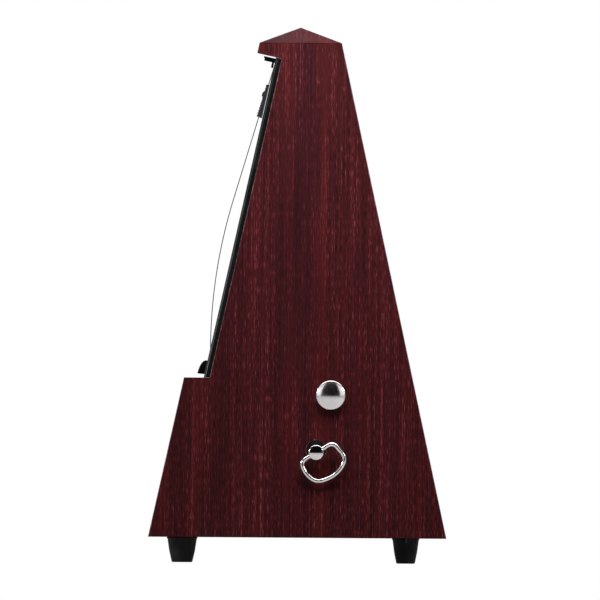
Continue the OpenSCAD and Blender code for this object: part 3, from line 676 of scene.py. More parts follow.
@dataclass(frozen=True)
class Metal:
    """Bare or plated metal."""

    name: str
    colour: Colour
    rough: float
    cut: Cut = Cut.POLISHED
    relief: float = 0.04

    def make(self) -> bpy.types.Material:
        """The material."""
        nodes = Nodes(self.name)
        lines = nodes.noise(
            nodes.place("Object", [1 / (spacing * MM) for spacing in self.cut.value]), 2.0)
        haze = nodes.noise(nodes.place("Object", (160.0,) * 3), 3.0)
        duller = tuple(value * 0.86 for value in self.colour)
        nodes.set(Base_Color=nodes.mix(nodes.span(haze, 0.4, 0.75, 0.0, 0.5),
                                       linear(self.colour), linear(duller)),
                  Metallic=1.0,
                  Roughness=nodes.span(lines, 0.3, 0.7, self.rough, self.rough * 1.35 + 0.01))
        nodes.bump(lines, self.relief, 0.01 * MM)
        return nodes.material


@dataclass(frozen=True)
class Printed:
    """Painted card or sheet, with a faint mottle."""

    name: str
    colour: Colour
    rough: float = 0.42

    def make(self) -> bpy.types.Material:
        """The material."""
        nodes = Nodes(self.name)
        mottle = nodes.noise(nodes.place("Object", (420.0,) * 3), 4.0)
        shade = tuple(value * 0.93 for value in self.colour)
        nodes.set(Base_Color=nodes.mix(nodes.span(mottle, 0.35, 0.7, 0.0, 1.0),
                                       linear(self.colour), linear(shade)),
                  Roughness=nodes.span(mottle, 0.3, 0.7, self.rough, self.rough + 0.1))
        nodes.bump(mottle, 0.05, 0.03 * MM)
        return nodes.material


class Finish(Enum):
    """Every finish on the object."""

    WOOD = WoodFilm()
    # Paler film for the rounded upright edges: a painted highlight, the light those edges catch.
    WORN_WOOD = WoodFilm("mahogany_film_painted_highlight", shades=(
        (58, 24, 28), (84, 46, 50), (112, 74, 78), (142, 106, 110), (184, 156, 158)))
    FOLDED_WOOD = WoodFilm("mahogany_film_fold", gloss=0.0)
    PANEL = Moulded("panel_plastic", (12, 14, 13), Grade.SATIN)
    FITTING = Moulded("fitting_plastic", (8, 8, 8), Grade.SATIN)
    BOARD = Moulded("base_board", (30, 27, 26), Grade.MATT, 0.8 * MM)
    RUBBER = Moulded("foot_rubber", (12, 12, 12), Grade.RUBBER)
    WEIGHT = Moulded("weight_paint", (58, 59, 61), Grade.MATT, 0.5 * MM)
    ROD = Metal("spring_steel_strip", (112, 114, 118), 0.24, Cut.DRAWN, 0.08)
    CHROME = Metal("bright_chrome", (222, 216, 217), 0.06)
    SOFT_CHROME = Metal("soft_chrome", (222, 216, 217), 0.13)
    # Black felt round the key's stem, which also stands for painted shade above the ball.
    FELT = Moulded("black_felt_painted_shade", (9, 8, 8), Grade.RUBBER, 0.2 * MM)
    STEEL = Metal("turned_steel", (190, 190, 190), 0.2, Cut.TURNED, 0.1)
    BLACKED = Metal("black_zinc_coating", (38, 38, 40), 0.4, Cut.TURNED, 0.1)
    ZINC = Metal("zinc_coating", (158, 160, 160), 0.4, Cut.BRUSHED, 0.2)
    BLUED = Metal("blued_spring", (74, 96, 138), 0.22, Cut.TURNED, 0.1)
    BRASS = Metal("turned_brass", (206, 170, 96), 0.22, Cut.TURNED, 0.12)
    SCALE = Printed("scale_paint", (226, 220, 202))
    INK = Printed("scale_ink", (28, 26, 26), 0.5)

    def material(self) -> bpy.types.Material:
        """The finish's material, made on first use."""
        return bpy.data.materials.get(self.value.name) or self.value.make()

    def on(self, *objects: bpy.types.Object) -> None:
        """Gives the finish to all of each object."""
        for obj in objects:
            if not obj.material_slots:
                obj.data.materials.append(None)
            for slot in obj.material_slots:
                slot.material = self.material()

    def add_to(self, obj: bpy.types.Object) -> None:
        """Adds the finish as one more slot of an object."""
        obj.data.materials.append(self.material())


# --------------------------------------------------------------------------
# The case and what is fixed on it


@dataclass
class Case:
    """The wooden case with its roof, cornice, ledge and holes."""

    edge: float = 0.5 * MM
    # The key's hole and its felt sit above the stem, so that a crescent of painted shade shows
    # above the ball.
    key_hole: float = 8.0 * MM
    key_hole_up: float = 1.0 * MM
    felt_sunk: float = 1.5 * MM
    felt_thick: float = 1.2 * MM
    felt_bore: float = 4.8 * MM
    selector_hole: float = 4.2 * MM
    rod_slot: float = 11.8 * MM
    slot_tail: float = 7.0 * MM
    reach: float = 0.2
    flat_area: float = 60.0 * MM * MM
    edge_tilt: float = 0.4
    edge_slant: float = math.radians(6)

    def side_cut(self) -> Outline:
        """The opening for the cover, seen from the side as (y, z)."""
        foot = (CASE.panel_y, CASE.ledge_z)
        top_in = CASE.on_panel(0, 0, CASE.opening)
        top_out = CASE.on_panel(0, -3 * CASE.recess, CASE.opening)
        return (foot, (top_in.y, top_in.z), (top_out.y, top_out.z),
                (-CASE.base_depth, top_out.z), (-CASE.base_depth, CASE.ledge_z))

    def body(self) -> bpy.types.Object:
        """The tapered block with its roof."""
        rise = CASE.eave_z - CASE.foot
        shell = Bench.block(
            "case_shell", (-CASE.base_width / 2, -CASE.base_depth / 2, CASE.foot),
            (CASE.base_width / 2, CASE.base_depth / 2, CASE.eave_z))
        bpy.ops.object.mode_set(mode="EDIT")
        Bench.select(shell, "FACE", lambda middle: middle.z > CASE.foot + 0.99 * rise)
        bpy.ops.transform.resize(
            value=(CASE.eave_width / CASE.base_width, CASE.eave_depth / CASE.base_depth, 1),
            center_override=(0, 0, CASE.eave_z))
        bpy.ops.mesh.extrude_region_move(TRANSFORM_OT_translate={"value": (0, 0, CASE.roof)})
        bpy.ops.mesh.merge(type="CENTER")
        bpy.ops.object.mode_set(mode="OBJECT")
        Bench.face_out(shell)
        return shell

    def cavity(self) -> bpy.types.Object:
        """The hollow inside the walls, open below and behind the panel."""
        wall = CASE.wall / math.cos(CASE.lean)
        under = CASE.foot - MM
        shelf = CASE.ledge_z - CASE.wall
        roof = CASE.eave_z - CASE.wall

        def behind(depth: float, z: float) -> tuple[float, float]:
            """A point at a depth behind the wall edges, at a height."""
            shift = depth / math.cos(CASE.lean)
            return CASE.panel_y + shift + (z - CASE.ledge_z) * math.tan(CASE.lean), z

        proud = CASE.on_panel(0, -MM, CASE.opening)
        flush = CASE.on_panel(0, 0, CASE.opening)
        side = (
            (CASE.front_y(under) + wall, under), (CASE.front_y(shelf) + wall, shelf),
            behind(CASE.field_sunk, shelf), behind(CASE.field_sunk, CASE.ledge_z),
            behind(-MM, CASE.ledge_z), (proud.y, proud.z), (flush.y, flush.z),
            behind(0, roof), (-CASE.front_y(roof) - wall, roof),
            (-CASE.front_y(under) - wall, under))
        hollow = Bench.side_plate("hollow", side, -self.reach, self.reach)
        low = CASE.side_x(under) - CASE.wall
        high = CASE.side_x(CASE.eave_z) - CASE.wall
        across = Bench.plate("hollow_width", tapered(low, high, under, CASE.eave_z),
                             -self.reach, self.reach)
        Bench.boolean(hollow, across, "INTERSECT")
        return hollow

    def build(self) -> bpy.types.Object:
        """The finished case."""
        shell = self.body()
        Bench.boolean(shell, Bench.side_plate("opening", self.side_cut(), -self.reach, self.reach))
        Bench.boolean(shell, self.cavity())
        slot = Bench.block("rod_slot", (-self.rod_slot / 2, -CASE.rim_proud, -self.slot_tail),
                           (self.rod_slot / 2, CASE.field_sunk + MM, 1.4 * MM))
        slot.data.transform(CASE.panel_matrix)
        Bench.boolean(shell, slot)
        for name, width, up in (("key_stem", self.key_hole, self.key_hole_up),
                                ("selector_rod", self.selector_hole, 0.0)):
            low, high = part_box(name)
            middle = (low + high) / 2 + Vector((0, 0, up))
            hole = Bench.rod(name + "_hole", (0, middle.y, middle.z),
                             (CASE.base_width, middle.y, middle.z), width / 2)
            Bench.boolean(shell, hole)
        Bench.soften(shell, self.edge)
        self.lay_grain(shell)
        Finish.WOOD.on(shell)
        self.wear_edges(shell)
        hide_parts("housing")
        return shell

    def wear_edges(self, shell: bpy.types.Object) -> None:
        """Paints a highlight on the rounded outer edges: the upright ones get the paler film, and
        the others a film without gloss.

        Args:
            shell: The case, with its film on.
        """
        Finish.WORN_WOOD.add_to(shell)
        Finish.FOLDED_WOOD.add_to(shell)
        faces = shell.data.polygons
        flats = [face.normal.copy() for face in faces if face.area > self.flat_area]
        for face in faces:
            slant = min(face.normal.angle(flat) for flat in flats)
            height = face.center.z
            outer = (abs(face.center.x) > CASE.side_x(height) - 2 * self.edge
                     or abs(face.center.y) > -CASE.front_y(height) - 2 * self.edge)
            if slant > self.edge_slant and outer and face.area < self.flat_area:
                # Upright edges get the painted highlight; the others get the film without gloss.
                face.material_index = 1 if abs(face.normal.z) < self.edge_tilt else 2

    def key_felt(self) -> bpy.types.Object:
        """The black felt round the key's stem, lifted above it to paint a crescent of shade over
        the ball.
        """
        low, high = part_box("key_stem")
        middle = (low + high) / 2
        face = CASE.side_x(middle.z) - self.felt_sunk
        up = Vector((0, 0, self.key_hole_up))
        axis = [Vector((face - self.felt_thick, middle.y, middle.z)),
                Vector((face, middle.y, middle.z))]
        felt = Bench.rod("key_felt", axis[0] + up, axis[1] + up,
                         self.key_hole / 2 - self.edge / 10)
        along = Vector((self.felt_thick, 0, 0))
        bore = Bench.rod("felt_bore", axis[0] - along, axis[1] + along, self.felt_bore / 2)
        Bench.boolean(felt, bore)
        Bench.soften(felt, 0.2 * MM, segments=2)
        Finish.FELT.on(felt)
        return felt

    def lay_grain(self, shell: bpy.types.Object) -> None:
        """Wraps the film round the case, its grain upright on every face.

        Args:
            shell: The case. Its grain map holds metres across the grain and
                along it, and each side starts at its own place on the film.
        """
        layer = shell.data.uv_layers.new(name=Finish.WOOD.value.grain_map)
        for face in shell.data.polygons:
            normal = face.normal
            sideways = abs(normal.x) * 1.02 > abs(normal.y)
            start = (0.31 if normal.x > 0 else 0.67) if sideways else (
                0.05 if normal.y < 0 else 0.93)
            top = 0.4 if normal.z > 0.8 else 0.0
            for loop in face.loop_indices:
                place = shell.data.vertices[shell.data.loops[loop].vertex_index].co
                across = place.y if sideways else place.x
                layer.data[loop].uv = (start + across, place.z + top)


@dataclass
class FrontPanel:
    """The black panel with its two rims, and the scale plate on it."""

    edge: float = 0.25 * MM
    foot_tail: float = 7.0 * MM
    top_gap: float = 0.4 * MM
    rim_gap: float = 0.02 * MM
    rim_foot: float = -1.2 * MM
    rim_round: float = 1.15 * MM
    near: float = 0.05 * MM
    seat_lap: float = 0.2 * MM
    hub: float = 5.1 * MM
    pivot_drop: float = 6.0 * MM
    fan_top: float = 4.5 * MM
    fan_near: float = 2.3 * MM
    swing: float = 28.0
    scale_thick: float = 0.5 * MM
    scale_foot: float = 9.0 * MM
    scale_top: float = 115.6 * MM
    print_high: float = 0.06 * MM
    line_reach: Size = (2.2 * MM, 6.0 * MM)
    line_half: float = 0.11 * MM
    number_out: float = 8.6 * MM
    number_size: float = 2.9 * MM
    edge_line_inset: float = 3 * MM
    tempos: tuple[int, ...] = field(default_factory=lambda: (
        *range(40, 60, 2), *range(60, 72, 3), *range(72, 120, 4), *range(120, 144, 6),
        *range(144, 209, 8)))

    def band(self, name: str, low: float, high: float, out: float, inner: float,
             front: float, rear: float) -> list[bpy.types.Object]:
        """The two upright strips along the sides of the case.

        Args:
            name: Name for the strips.
            low: Height of their lower ends on the panel.
            high: Height of their upper ends.
            out: How far they stay inside the faces of the case.
            inner: How far their inner edges are from those faces.
            front: Depth of their front faces.
            rear: Depth of their rear faces.
        """
        strips = []
        for side in (-1, 1):
            wide = [CASE.panel_half(height) for height in (low, high)]
            outline = ((side * (wide[0] - out), low), (side * (wide[1] - out), high),
                       (side * (wide[1] - inner), high), (side * (wide[0] - inner), low))
            strips.append(Bench.plate(name, outline, front, rear))
            Bench.face_out(strips[-1])
        return strips

    def rims(self) -> list[bpy.types.Object]:
        """The two rims, their outer edges well rounded and their feet level."""
        front = -CASE.rim_proud
        inner = CASE.rim_inset + CASE.rim_width
        low, high = self.rim_foot, CASE.opening - self.rim_gap
        strips = self.band("rim", low, high, CASE.rim_inset, inner, front, 0)
        edge_x = (CASE.panel_half(low) + CASE.panel_half(high)) / 2 - CASE.rim_inset
        tilt = (0, -math.sin(CASE.lean), math.cos(CASE.lean))
        for rim in strips:
            Bench.pick(rim)
            bpy.ops.object.mode_set(mode="EDIT")
            Bench.select(rim, "EDGE", lambda middle: (
                middle.y < front + self.near and abs(abs(middle.x) - edge_x) < self.near))
            bpy.ops.mesh.bevel(offset=self.rim_round, segments=6, profile=0.5)
            bpy.ops.mesh.select_all(action="SELECT")
            bpy.ops.mesh.bisect(plane_co=(0, 0, self.rim_gap), plane_no=tilt, use_fill=True,
                                clear_inner=True)
            bpy.ops.object.mode_set(mode="OBJECT")
            Bench.face_out(rim)
        return strips

    def field(self) -> bpy.types.Object:
        """The flat of the panel, with the fan-shaped opening for the rod."""
        low, high = -self.foot_tail, CASE.opening - self.top_gap
        wide = [CASE.panel_half(height) - CASE.wall_inset for height in (low, high)]
        front, rear = CASE.field_sunk, CASE.field_sunk + CASE.panel
        flat = Bench.plate("front_panel_black", tapered(*wide, low, high), front, rear)
        spread = self.fan_near + (self.fan_top + self.pivot_drop) * math.tan(
            math.radians(self.swing))
        fan = Bench.plate("fan", tapered(self.fan_near, spread, -self.pivot_drop, self.fan_top),
                          front - MM, rear + MM)
        round_hole = Bench.rod("hub_hole", (0, front - MM, -self.pivot_drop),
                               (0, rear + MM, -self.pivot_drop), self.hub)
        foot = Bench.block("hub_way", (-self.hub, front - MM, low - MM),
                           (self.hub, rear + MM, -self.pivot_drop))
        for cutter in (fan, round_hole, foot):
            Bench.boolean(flat, cutter)
        return flat

    def build(self) -> bpy.types.Object:
        """The panel and its rims, leaning in the case."""
        panel = self.field()
        top = CASE.opening - self.top_gap
        inner = CASE.rim_inset + CASE.rim_width
        seats = self.band("rim_seat", self.seat_lap, top, CASE.wall_inset, inner,
                          -self.seat_lap, CASE.field_sunk + self.seat_lap)
        for strip in (*self.rims(), *seats):
            Bench.boolean(panel, strip, "UNION")
        panel.data.transform(CASE.panel_matrix)
        Bench.soften(panel, self.edge)
        Finish.PANEL.on(panel)
        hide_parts("front_panel")
        return panel

    def scale_plate(self) -> bpy.types.Object:
        """The plate that carries the tempo scale."""
        out = CASE.rim_inset + CASE.rim_width + 0.6 * MM
        low, high = self.scale_foot, self.scale_top
        wide = [CASE.panel_half(height) - out for height in (low, high)]
        plate = Bench.plate("tempo_scale_plate", tapered(*wide, low, high),
                            CASE.field_sunk - self.scale_thick, CASE.field_sunk)
        plate.data.transform(CASE.panel_matrix)
        Bench.soften(plate, 0.12 * MM, segments=2)
        Finish.SCALE.on(plate)
        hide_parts("scale_plate")
        return plate

    def scale_height(self, tempo: int) -> float:
        """Height of a tempo's line on the plate: slow ones are at the top."""
        low, high = self.scale_foot + 6 * MM, self.scale_top - 5 * MM
        slow, fast = math.log(self.tempos[0]), math.log(self.tempos[-1])
        return high - (math.log(tempo) - slow) / (fast - slow) * (high - low)

    def print_marks(self) -> bpy.types.Object:
        """The printed lines and tempo numbers, a hair's breadth proud of the plate."""
        front = CASE.field_sunk - self.scale_thick
        parts = []
        for index, tempo in enumerate(self.tempos):
            height = self.scale_height(tempo)
            side = -1 if index % 2 == 0 else 1
            ends = sorted(side * reach for reach in self.line_reach)
            parts.append(Bench.block(
                "line", (ends[0], front - self.print_high, height - self.line_half),
                (ends[1], front, height + self.line_half)))
            parts.append(self.number(tempo, side * self.number_out, height, front))
        low, high = self.scale_foot + self.edge_line_inset, self.scale_top - self.edge_line_inset
        for x in (-2.2, 2.2):
            parts.append(Bench.block(
                "edge_line", ((x - 0.1) * MM, front - self.print_high, low),
                ((x + 0.1) * MM, front, high)))
        marks = Bench.join("tempo_scale_print", parts)
        marks.data.transform(CASE.panel_matrix)
        Finish.INK.on(marks)
        return marks

    def number(self, tempo: int, x: float, height: float, front: float) -> bpy.types.Object:
        """One tempo's number, as a flat mesh standing on the plate.

        Args:
            tempo: The number.
            x: Place of its middle across the plate.
            height: Height of its middle on the panel.
            front: Depth of the plate's face.
        """
        Bench.clear()
        bpy.ops.object.text_add(location=(0, 0, 0))
        text = bpy.context.object
        text.data.body = str(tempo)
        text.data.size = self.number_size
        text.data.align_x = "CENTER"
        text.data.align_y = "CENTER"
        text.data.extrude = self.print_high / 2
        text.data.resolution_u = 3
        bpy.ops.object.convert(target="MESH")
        mark = bpy.context.object
        mark.data.transform(
            Matrix.Translation((x, front - self.print_high / 2, height))
            @ Matrix.Rotation(math.pi / 2, 4, "X"))
        return mark


@dataclass
class CoverFittings:
    """The two hooks and the latch that hold the cover."""

    hook_x: float = 13.5 * MM
    hook_width: float = 6.0 * MM
    hook_high: float = 6.1 * MM
    hook_out: float = 2.9 * MM
    hook_foot: float = 0.5 * MM
    lip_width: float = 7.0 * MM
    lip_thick: float = 0.9 * MM
    lip_low: float = 128.0 * MM
    lip_depth: float = -2.62 * MM

    def hook(self, x: float) -> bpy.types.Object:
        """One hook, its rounded back upwards."""
        reach = CASE.rim_proud + self.hook_out
        back = [(-CASE.rim_proud - self.hook_out * math.cos(math.radians(turn)) ** 0.8,
                 self.hook_foot + self.hook_high * math.sin(math.radians(turn)))
                for turn in range(0, 88, 8)]
        top = self.hook_foot + self.hook_high
        outline = [(CASE.field_sunk, self.hook_foot + 0.9 * MM), (-reach, self.hook_foot),
                   *back[1:], (-CASE.rim_proud, top), (CASE.field_sunk, top)]
        piece = Bench.side_plate("cover_hook", outline, x - self.hook_width / 2,
                                 x + self.hook_width / 2)
        piece.data.transform(CASE.panel_matrix)
        Bench.soften(piece, 0.3 * MM, angle=40)
        return piece

    def hooks(self) -> bpy.types.Object:
        """Both hooks."""
        pair = Bench.join("cover_hook_pair", [self.hook(-self.hook_x), self.hook(self.hook_x)])
        Finish.FITTING.on(pair)
        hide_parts("cover_hooks")
        return pair

    def latch(self) -> bpy.types.Object:
        """The latch under the cornice, with the lip that holds the rod."""
        top = CASE.opening - 0.4 * MM
        half = self.lip_width / 2
        front = -CASE.rim_proud
        rear = CASE.field_sunk
        blocks = (
            ((-half, self.lip_depth - self.lip_thick, self.lip_low),
             (half, self.lip_depth, top - 1.6 * MM)),
            ((-half - 1 * MM, front - 4.4 * MM, top - 1.9 * MM),
             (half + 1 * MM, rear, top - 0.6 * MM)),
            ((-half - 2 * MM, front - 4.8 * MM, top - 0.8 * MM),
             (half + 2 * MM, rear, top - 0.1 * MM)),
            ((-half - 4 * MM, rear - 1 * MM, top - 14 * MM),
             (half + 4 * MM, rear, top - 0.1 * MM)))
        latch = Bench.block("cover_latch_plate", *blocks[0])
        for low, high in blocks[1:]:
            Bench.boolean(latch, Bench.block("latch_block", low, high), "UNION")
        for x in (-7 * MM, 7 * MM):
            pin = Bench.rod("latch_pin", (x, rear - 1.3 * MM, 120 * MM),
                            (x, rear + CASE.panel, 120 * MM), 0.75 * MM, 24)
            Bench.boolean(latch, pin, "UNION")
        latch.data.transform(CASE.panel_matrix)
        Bench.soften(latch, 0.15 * MM, segments=2)
        Finish.FITTING.on(latch)
        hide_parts("cover_latch")
        return latch


@dataclass
class Pendulum:
    """The rod and the weight that slides on it."""

    width: float = 2.8 * MM
    thick: float = 0.5 * MM
    bow: float = 208.4 * MM
    joint: float = 72.0 * MM
    stand: float = 6.47 * MM
    slope: float = 4.3
    tip: float = 129.6 * MM
    pivot_drop: float = 6.0 * MM
    weight_at: float = 107.3 * MM
    weight_high: float = 13.6 * MM
    weight_top: float = 17.0 * MM
    weight_low: float = 12.5 * MM
    rib_count: int = 12
    rib_groove: float = 0.22 * MM
    slack: float = 0.13 * MM
    rim_clear: float = 0.12 * MM
    slot_side: float = 0.1 * MM
    slot_front: float = 0.3 * MM
    ridge_at: float = 0.62

    def depth(self, height: float) -> float:
        """Depth of the rod's straight part at a height on the panel."""
        return -self.stand + (height - self.joint) * math.tan(math.radians(self.slope))

    def rod(self) -> bpy.types.Object:
        """The bowed spring-steel rod."""
        slope = math.radians(self.slope)
        centre = (-self.stand + self.bow * math.cos(slope),
                  self.joint - self.bow * math.sin(slope))
        root = math.asin((-self.pivot_drop - 2.6 * MM - centre[1]) / self.bow)
        steps = 40
        path = []
        for step in range(steps + 1):
            turn = root + (slope - root) * step / steps
            path.append((centre[0] - self.bow * math.cos(turn),
                         centre[1] + self.bow * math.sin(turn), turn))
        path.append((self.depth(self.tip), self.tip, slope))
        half = self.thick / 2
        front = [(y - half * math.cos(turn), z + half * math.sin(turn)) for y, z, turn in path]
        half -= self.slack
        rear = [(y + half * math.cos(turn), z - half * math.sin(turn)) for y, z, turn in path]
        rod = Bench.side_plate("pendulum_strip", front + rear[::-1], -self.width / 2,
                               self.width / 2)
        rod.data.transform(CASE.panel_matrix)
        Bench.soften(rod, 0.08 * MM, segments=2, angle=50)
        Finish.ROD.on(rod)
        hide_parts("pendulum_rod")
        return rod

    def weight(self) -> bpy.types.Object:
        """The sliding weight: a tapered block with a grip across its front."""
        rear = -CASE.rim_proud - self.rim_clear
        low, high = self.weight_at, self.weight_at + self.weight_high
        ridge = low + self.weight_high * self.ridge_at
        side = (
            (rear, low - 0.2 * MM), (self.depth(low) - MM, low + 0.2 * MM),
            (self.depth(ridge) - MM, ridge), (self.depth(ridge) - 1.5 * MM, ridge + 0.3 * MM),
            (self.depth(ridge + 2 * MM) - 1.5 * MM, ridge + 1.8 * MM),
            (self.depth(ridge + 2 * MM) - MM, ridge + 2.2 * MM),
            (self.depth(high) - MM, high), (rear, high + 0.2 * MM))
        weight = Bench.side_plate("sliding_weight", side, -self.weight_top, self.weight_top)
        sides = Bench.plate(
            "weight_sides",
            tapered(self.weight_low / 2, self.weight_top / 2, low - MM, high + MM),
            -12 * MM, 2 * MM)
        Bench.boolean(weight, sides, "INTERSECT")
        for index in range(self.rib_count):
            height = low + self.weight_high * (0.08 + 0.84 * index / (self.rib_count - 1))
            if abs(height - ridge - MM) > 1.3 * MM:
                front = self.depth(height) - MM
                groove = Bench.rod("rib_groove", (-self.weight_top, front, height),
                                   (self.weight_top, front, height), self.rib_groove, 16)
                Bench.boolean(weight, groove)
        slope = math.radians(self.slope)
        slot = Bench.block(
            "slot",
            (-self.width / 2 - self.slot_side, -self.thick / 2 - self.slot_front, -5 * MM),
            (self.width / 2 + self.slot_side, 4 * MM, 90 * MM))
        slot.data.transform(Matrix.Translation((0, -self.stand, self.joint))
                            @ Matrix.Rotation(-slope, 4, "X"))
        Bench.boolean(weight, slot)
        weight.data.transform(CASE.panel_matrix)
        Bench.soften(weight, 0.1 * MM, segments=2)
        Finish.WEIGHT.on(weight)
        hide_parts("tempo_weight")
        return weight


# --------------------------------------------------------------------------
# The winding key, the bell knob and the feet


@dataclass
class WindingKey:
    """The stem with its ball end, and the folding ring through it."""

    stem: float = 4.2 * MM
    ball: float = 6.1 * MM
    wire: float = 1.96 * MM
    width: float = 19.0 * MM
    reach: float = 12.0 * MM
    slope: float = 31.0
    spigot_deep: float = 6.0 * MM
    spigot: float = 2.4 * MM
    button_high: float = 0.9 * MM
    button_edge: float = 0.35 * MM
    button_dome: float = 8.0 * MM

    @property
    def axis(self) -> Vector:
        """The middle of the ball."""
        low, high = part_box("key_stem")
        middle = (low + high) / 2
        return Vector((high.x - self.ball / 2, middle.y, middle.z))

    def shaft(self) -> bpy.types.Object:
        """The turned stem: bore, neck, and a ball with a low domed end."""
        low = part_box("key_stem")[0].x
        end = self.axis.x
        radius = self.ball / 2
        neck = 0.82 * self.stem / 2
        meet = math.sqrt(radius ** 2 - neck ** 2)
        start = math.atan2(neck, -meet)
        profile = [(0, low + self.spigot_deep), (self.spigot / 2, low + self.spigot_deep),
                   (self.spigot / 2, low), (self.stem / 2, low),
                   (self.stem / 2, end - meet - 1.2 * MM), (neck, end - meet - 0.5 * MM)]
        steps = 22
        half_turn = math.pi / 2
        for step in range(steps + 1):
            turn = start + (half_turn - start) * step / steps
            profile.append((radius * math.sin(turn), end + radius * math.cos(turn)))
        edge, lip = self.button_edge, end + self.button_high
        for step in range(5):
            turn = half_turn * step / 4
            profile.append((radius - edge * (1 - math.cos(turn)), lip + edge * math.sin(turn)))
        tilt = math.asin((radius - edge) / self.button_dome)
        crown = lip + edge - self.button_dome * math.cos(tilt)
        for step in range(1, steps + 1):
            turn = tilt * (1 - step / steps)
            profile.append((self.button_dome * math.sin(turn),
                            crown + self.button_dome * math.cos(turn)))
        shaft = Bench.spin("key_shaft", profile, 72)
        shaft.data.transform(Matrix.Rotation(math.pi / 2, 4, "Y"))
        shaft.data.transform(Matrix.Translation((0, self.axis.y, self.axis.z)))
        along = Vector((0, math.cos(math.radians(self.slope)), math.sin(math.radians(self.slope))))
        hole = Bench.rod("ring_hole", self.axis - along * self.ball, self.axis + along * self.ball,
                         self.wire / 2 + 0.06 * MM)
        Bench.boolean(shaft, hole)
        Bench.smooth(shaft, 30)
        Finish.CHROME.on(shaft)
        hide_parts("key_stem")
        return shaft

    def ring_route(self) -> list[Vector]:
        """Corners of the ring's middle line, in its own plane.

        The wire is bent by hand round a form, so it goes nearly straight from
        bend to bend, and the ring is fuller on one side. Each corner is given
        as its place along the pin and square to it, as shares of the ring's
        half width and reach, and the length of its bend.
        """
        half = (self.width - self.wire) / 2
        drop = self.reach - self.wire / 2
        corners = (
            (0.0, 0.0, 0.0), (0.93, 0.0, 2.3 * MM), (1.12, -0.75, 4.0 * MM),
            (0.43, -1.05, 4.0 * MM), (-0.19, -1.06, 4.0 * MM), (-0.72, -0.93, 4.0 * MM),
            (-0.94, -0.52, 4.0 * MM), (-0.87, 0.0, 3.0 * MM))
        return [Vector((x * half, y * drop, bend)) for x, y, bend in corners]

    def ring(self) -> bpy.types.Object:
        """The ring: one round wire swept along its route."""
        points = self.rounded(self.ring_route())
        bpy.ops.curve.primitive_bezier_circle_add(radius=MM)
        wire = bpy.context.object
        wire.name = "key_loop"
        curve = wire.data
        curve.splines.clear()
        spline = curve.splines.new("POLY")
        spline.points.add(len(points) - 1)
        for slot, place in zip(spline.points, points):
            slot.co = (*place, 1.0)
        spline.use_cyclic_u = True
        curve.bevel_depth = self.wire / 2 - 0.02 * MM
        curve.bevel_resolution = 6
        Bench.pick(wire)
        bpy.ops.object.convert(target="MESH")
        loop = Bench.named("key_loop")
        slope = math.radians(self.slope)
        upright = Matrix(((0, 0, 1, 0), (1, 0, 0, 0), (0, 1, 0, 0), (0, 0, 0, 1)))
        loop.data.transform(
            Matrix.Translation(self.axis) @ Matrix.Rotation(slope, 4, "X") @ upright)
        Bench.face_out(loop)
        Bench.smooth(loop, 60)
        Finish.CHROME.on(loop)
        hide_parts("key_ring")
        return loop

    @staticmethod
    def rounded(corners: Sequence[Vector], steps: int = 9) -> list[Vector]:
        """A closed polygon with its corners rounded off.

        Args:
            corners: Corners, each with the length of its rounding as its z.
            steps: Points along each rounding.
        """
        places = [Vector((corner.x, corner.y, 0)) for corner in corners]
        route = []
        for index, corner in enumerate(places):
            before = (places[index - 1] - corner)
            after = (places[(index + 1) % len(places)] - corner)
            reach = min(corners[index].z, before.length * 0.49, after.length * 0.49)
            if reach == 0:
                route.append(corner)
                continue
            start = corner + before.normalized() * reach
            end = corner + after.normalized() * reach
            for step in range(steps + 1):
                share = step / steps
                first = start.lerp(corner, share)
                route.append(first.lerp(corner.lerp(end, share), share))
        return route


@dataclass
class BellKnob:
    """The domed chrome knob that sets the bell."""

    wide: float = 11.9 * MM
    high: float = 3.4 * MM
    bore: float = 3.0 * MM
    bore_deep: float = 1.1 * MM

    def build(self) -> bpy.types.Object:
        """The turned knob."""
        low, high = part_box("bell_knob")
        middle = (low + high) / 2
        edge = self.wide / 2
        dome = self.wide
        rim = math.asin((edge - 0.5 * MM) / dome)
        profile = [(0, self.bore_deep), (self.bore / 2, self.bore_deep), (self.bore / 2, 0),
                   (edge - 0.7 * MM, 0), (edge - 0.35 * MM, 0.12 * MM),
                   (edge - 0.1 * MM, 0.38 * MM), (edge, 0.75 * MM)]
        crown = self.high - dome
        lip = crown + dome * math.cos(rim)
        profile.append((edge, lip - 0.45 * MM))
        for turn in (30, 60):
            share = math.radians(turn)
            profile.append((edge - 0.5 * MM * (1 - math.cos(share)),
                            lip - 0.45 * MM * (1 - math.sin(share))))
        steps = 20
        for step in range(steps + 1):
            turn = rim * (1 - step / steps)
            profile.append((dome * math.sin(turn), crown + dome * math.cos(turn)))
        knob = Bench.spin("bell_knob_chrome", profile, 96)
        knob.data.transform(Matrix.Translation((low.x, middle.y, middle.z))
                            @ Matrix.Rotation(math.pi / 2, 4, "Y"))
        Bench.smooth(knob, 35)
        Finish.SOFT_CHROME.on(knob)
        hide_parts("bell_knob")
        return knob


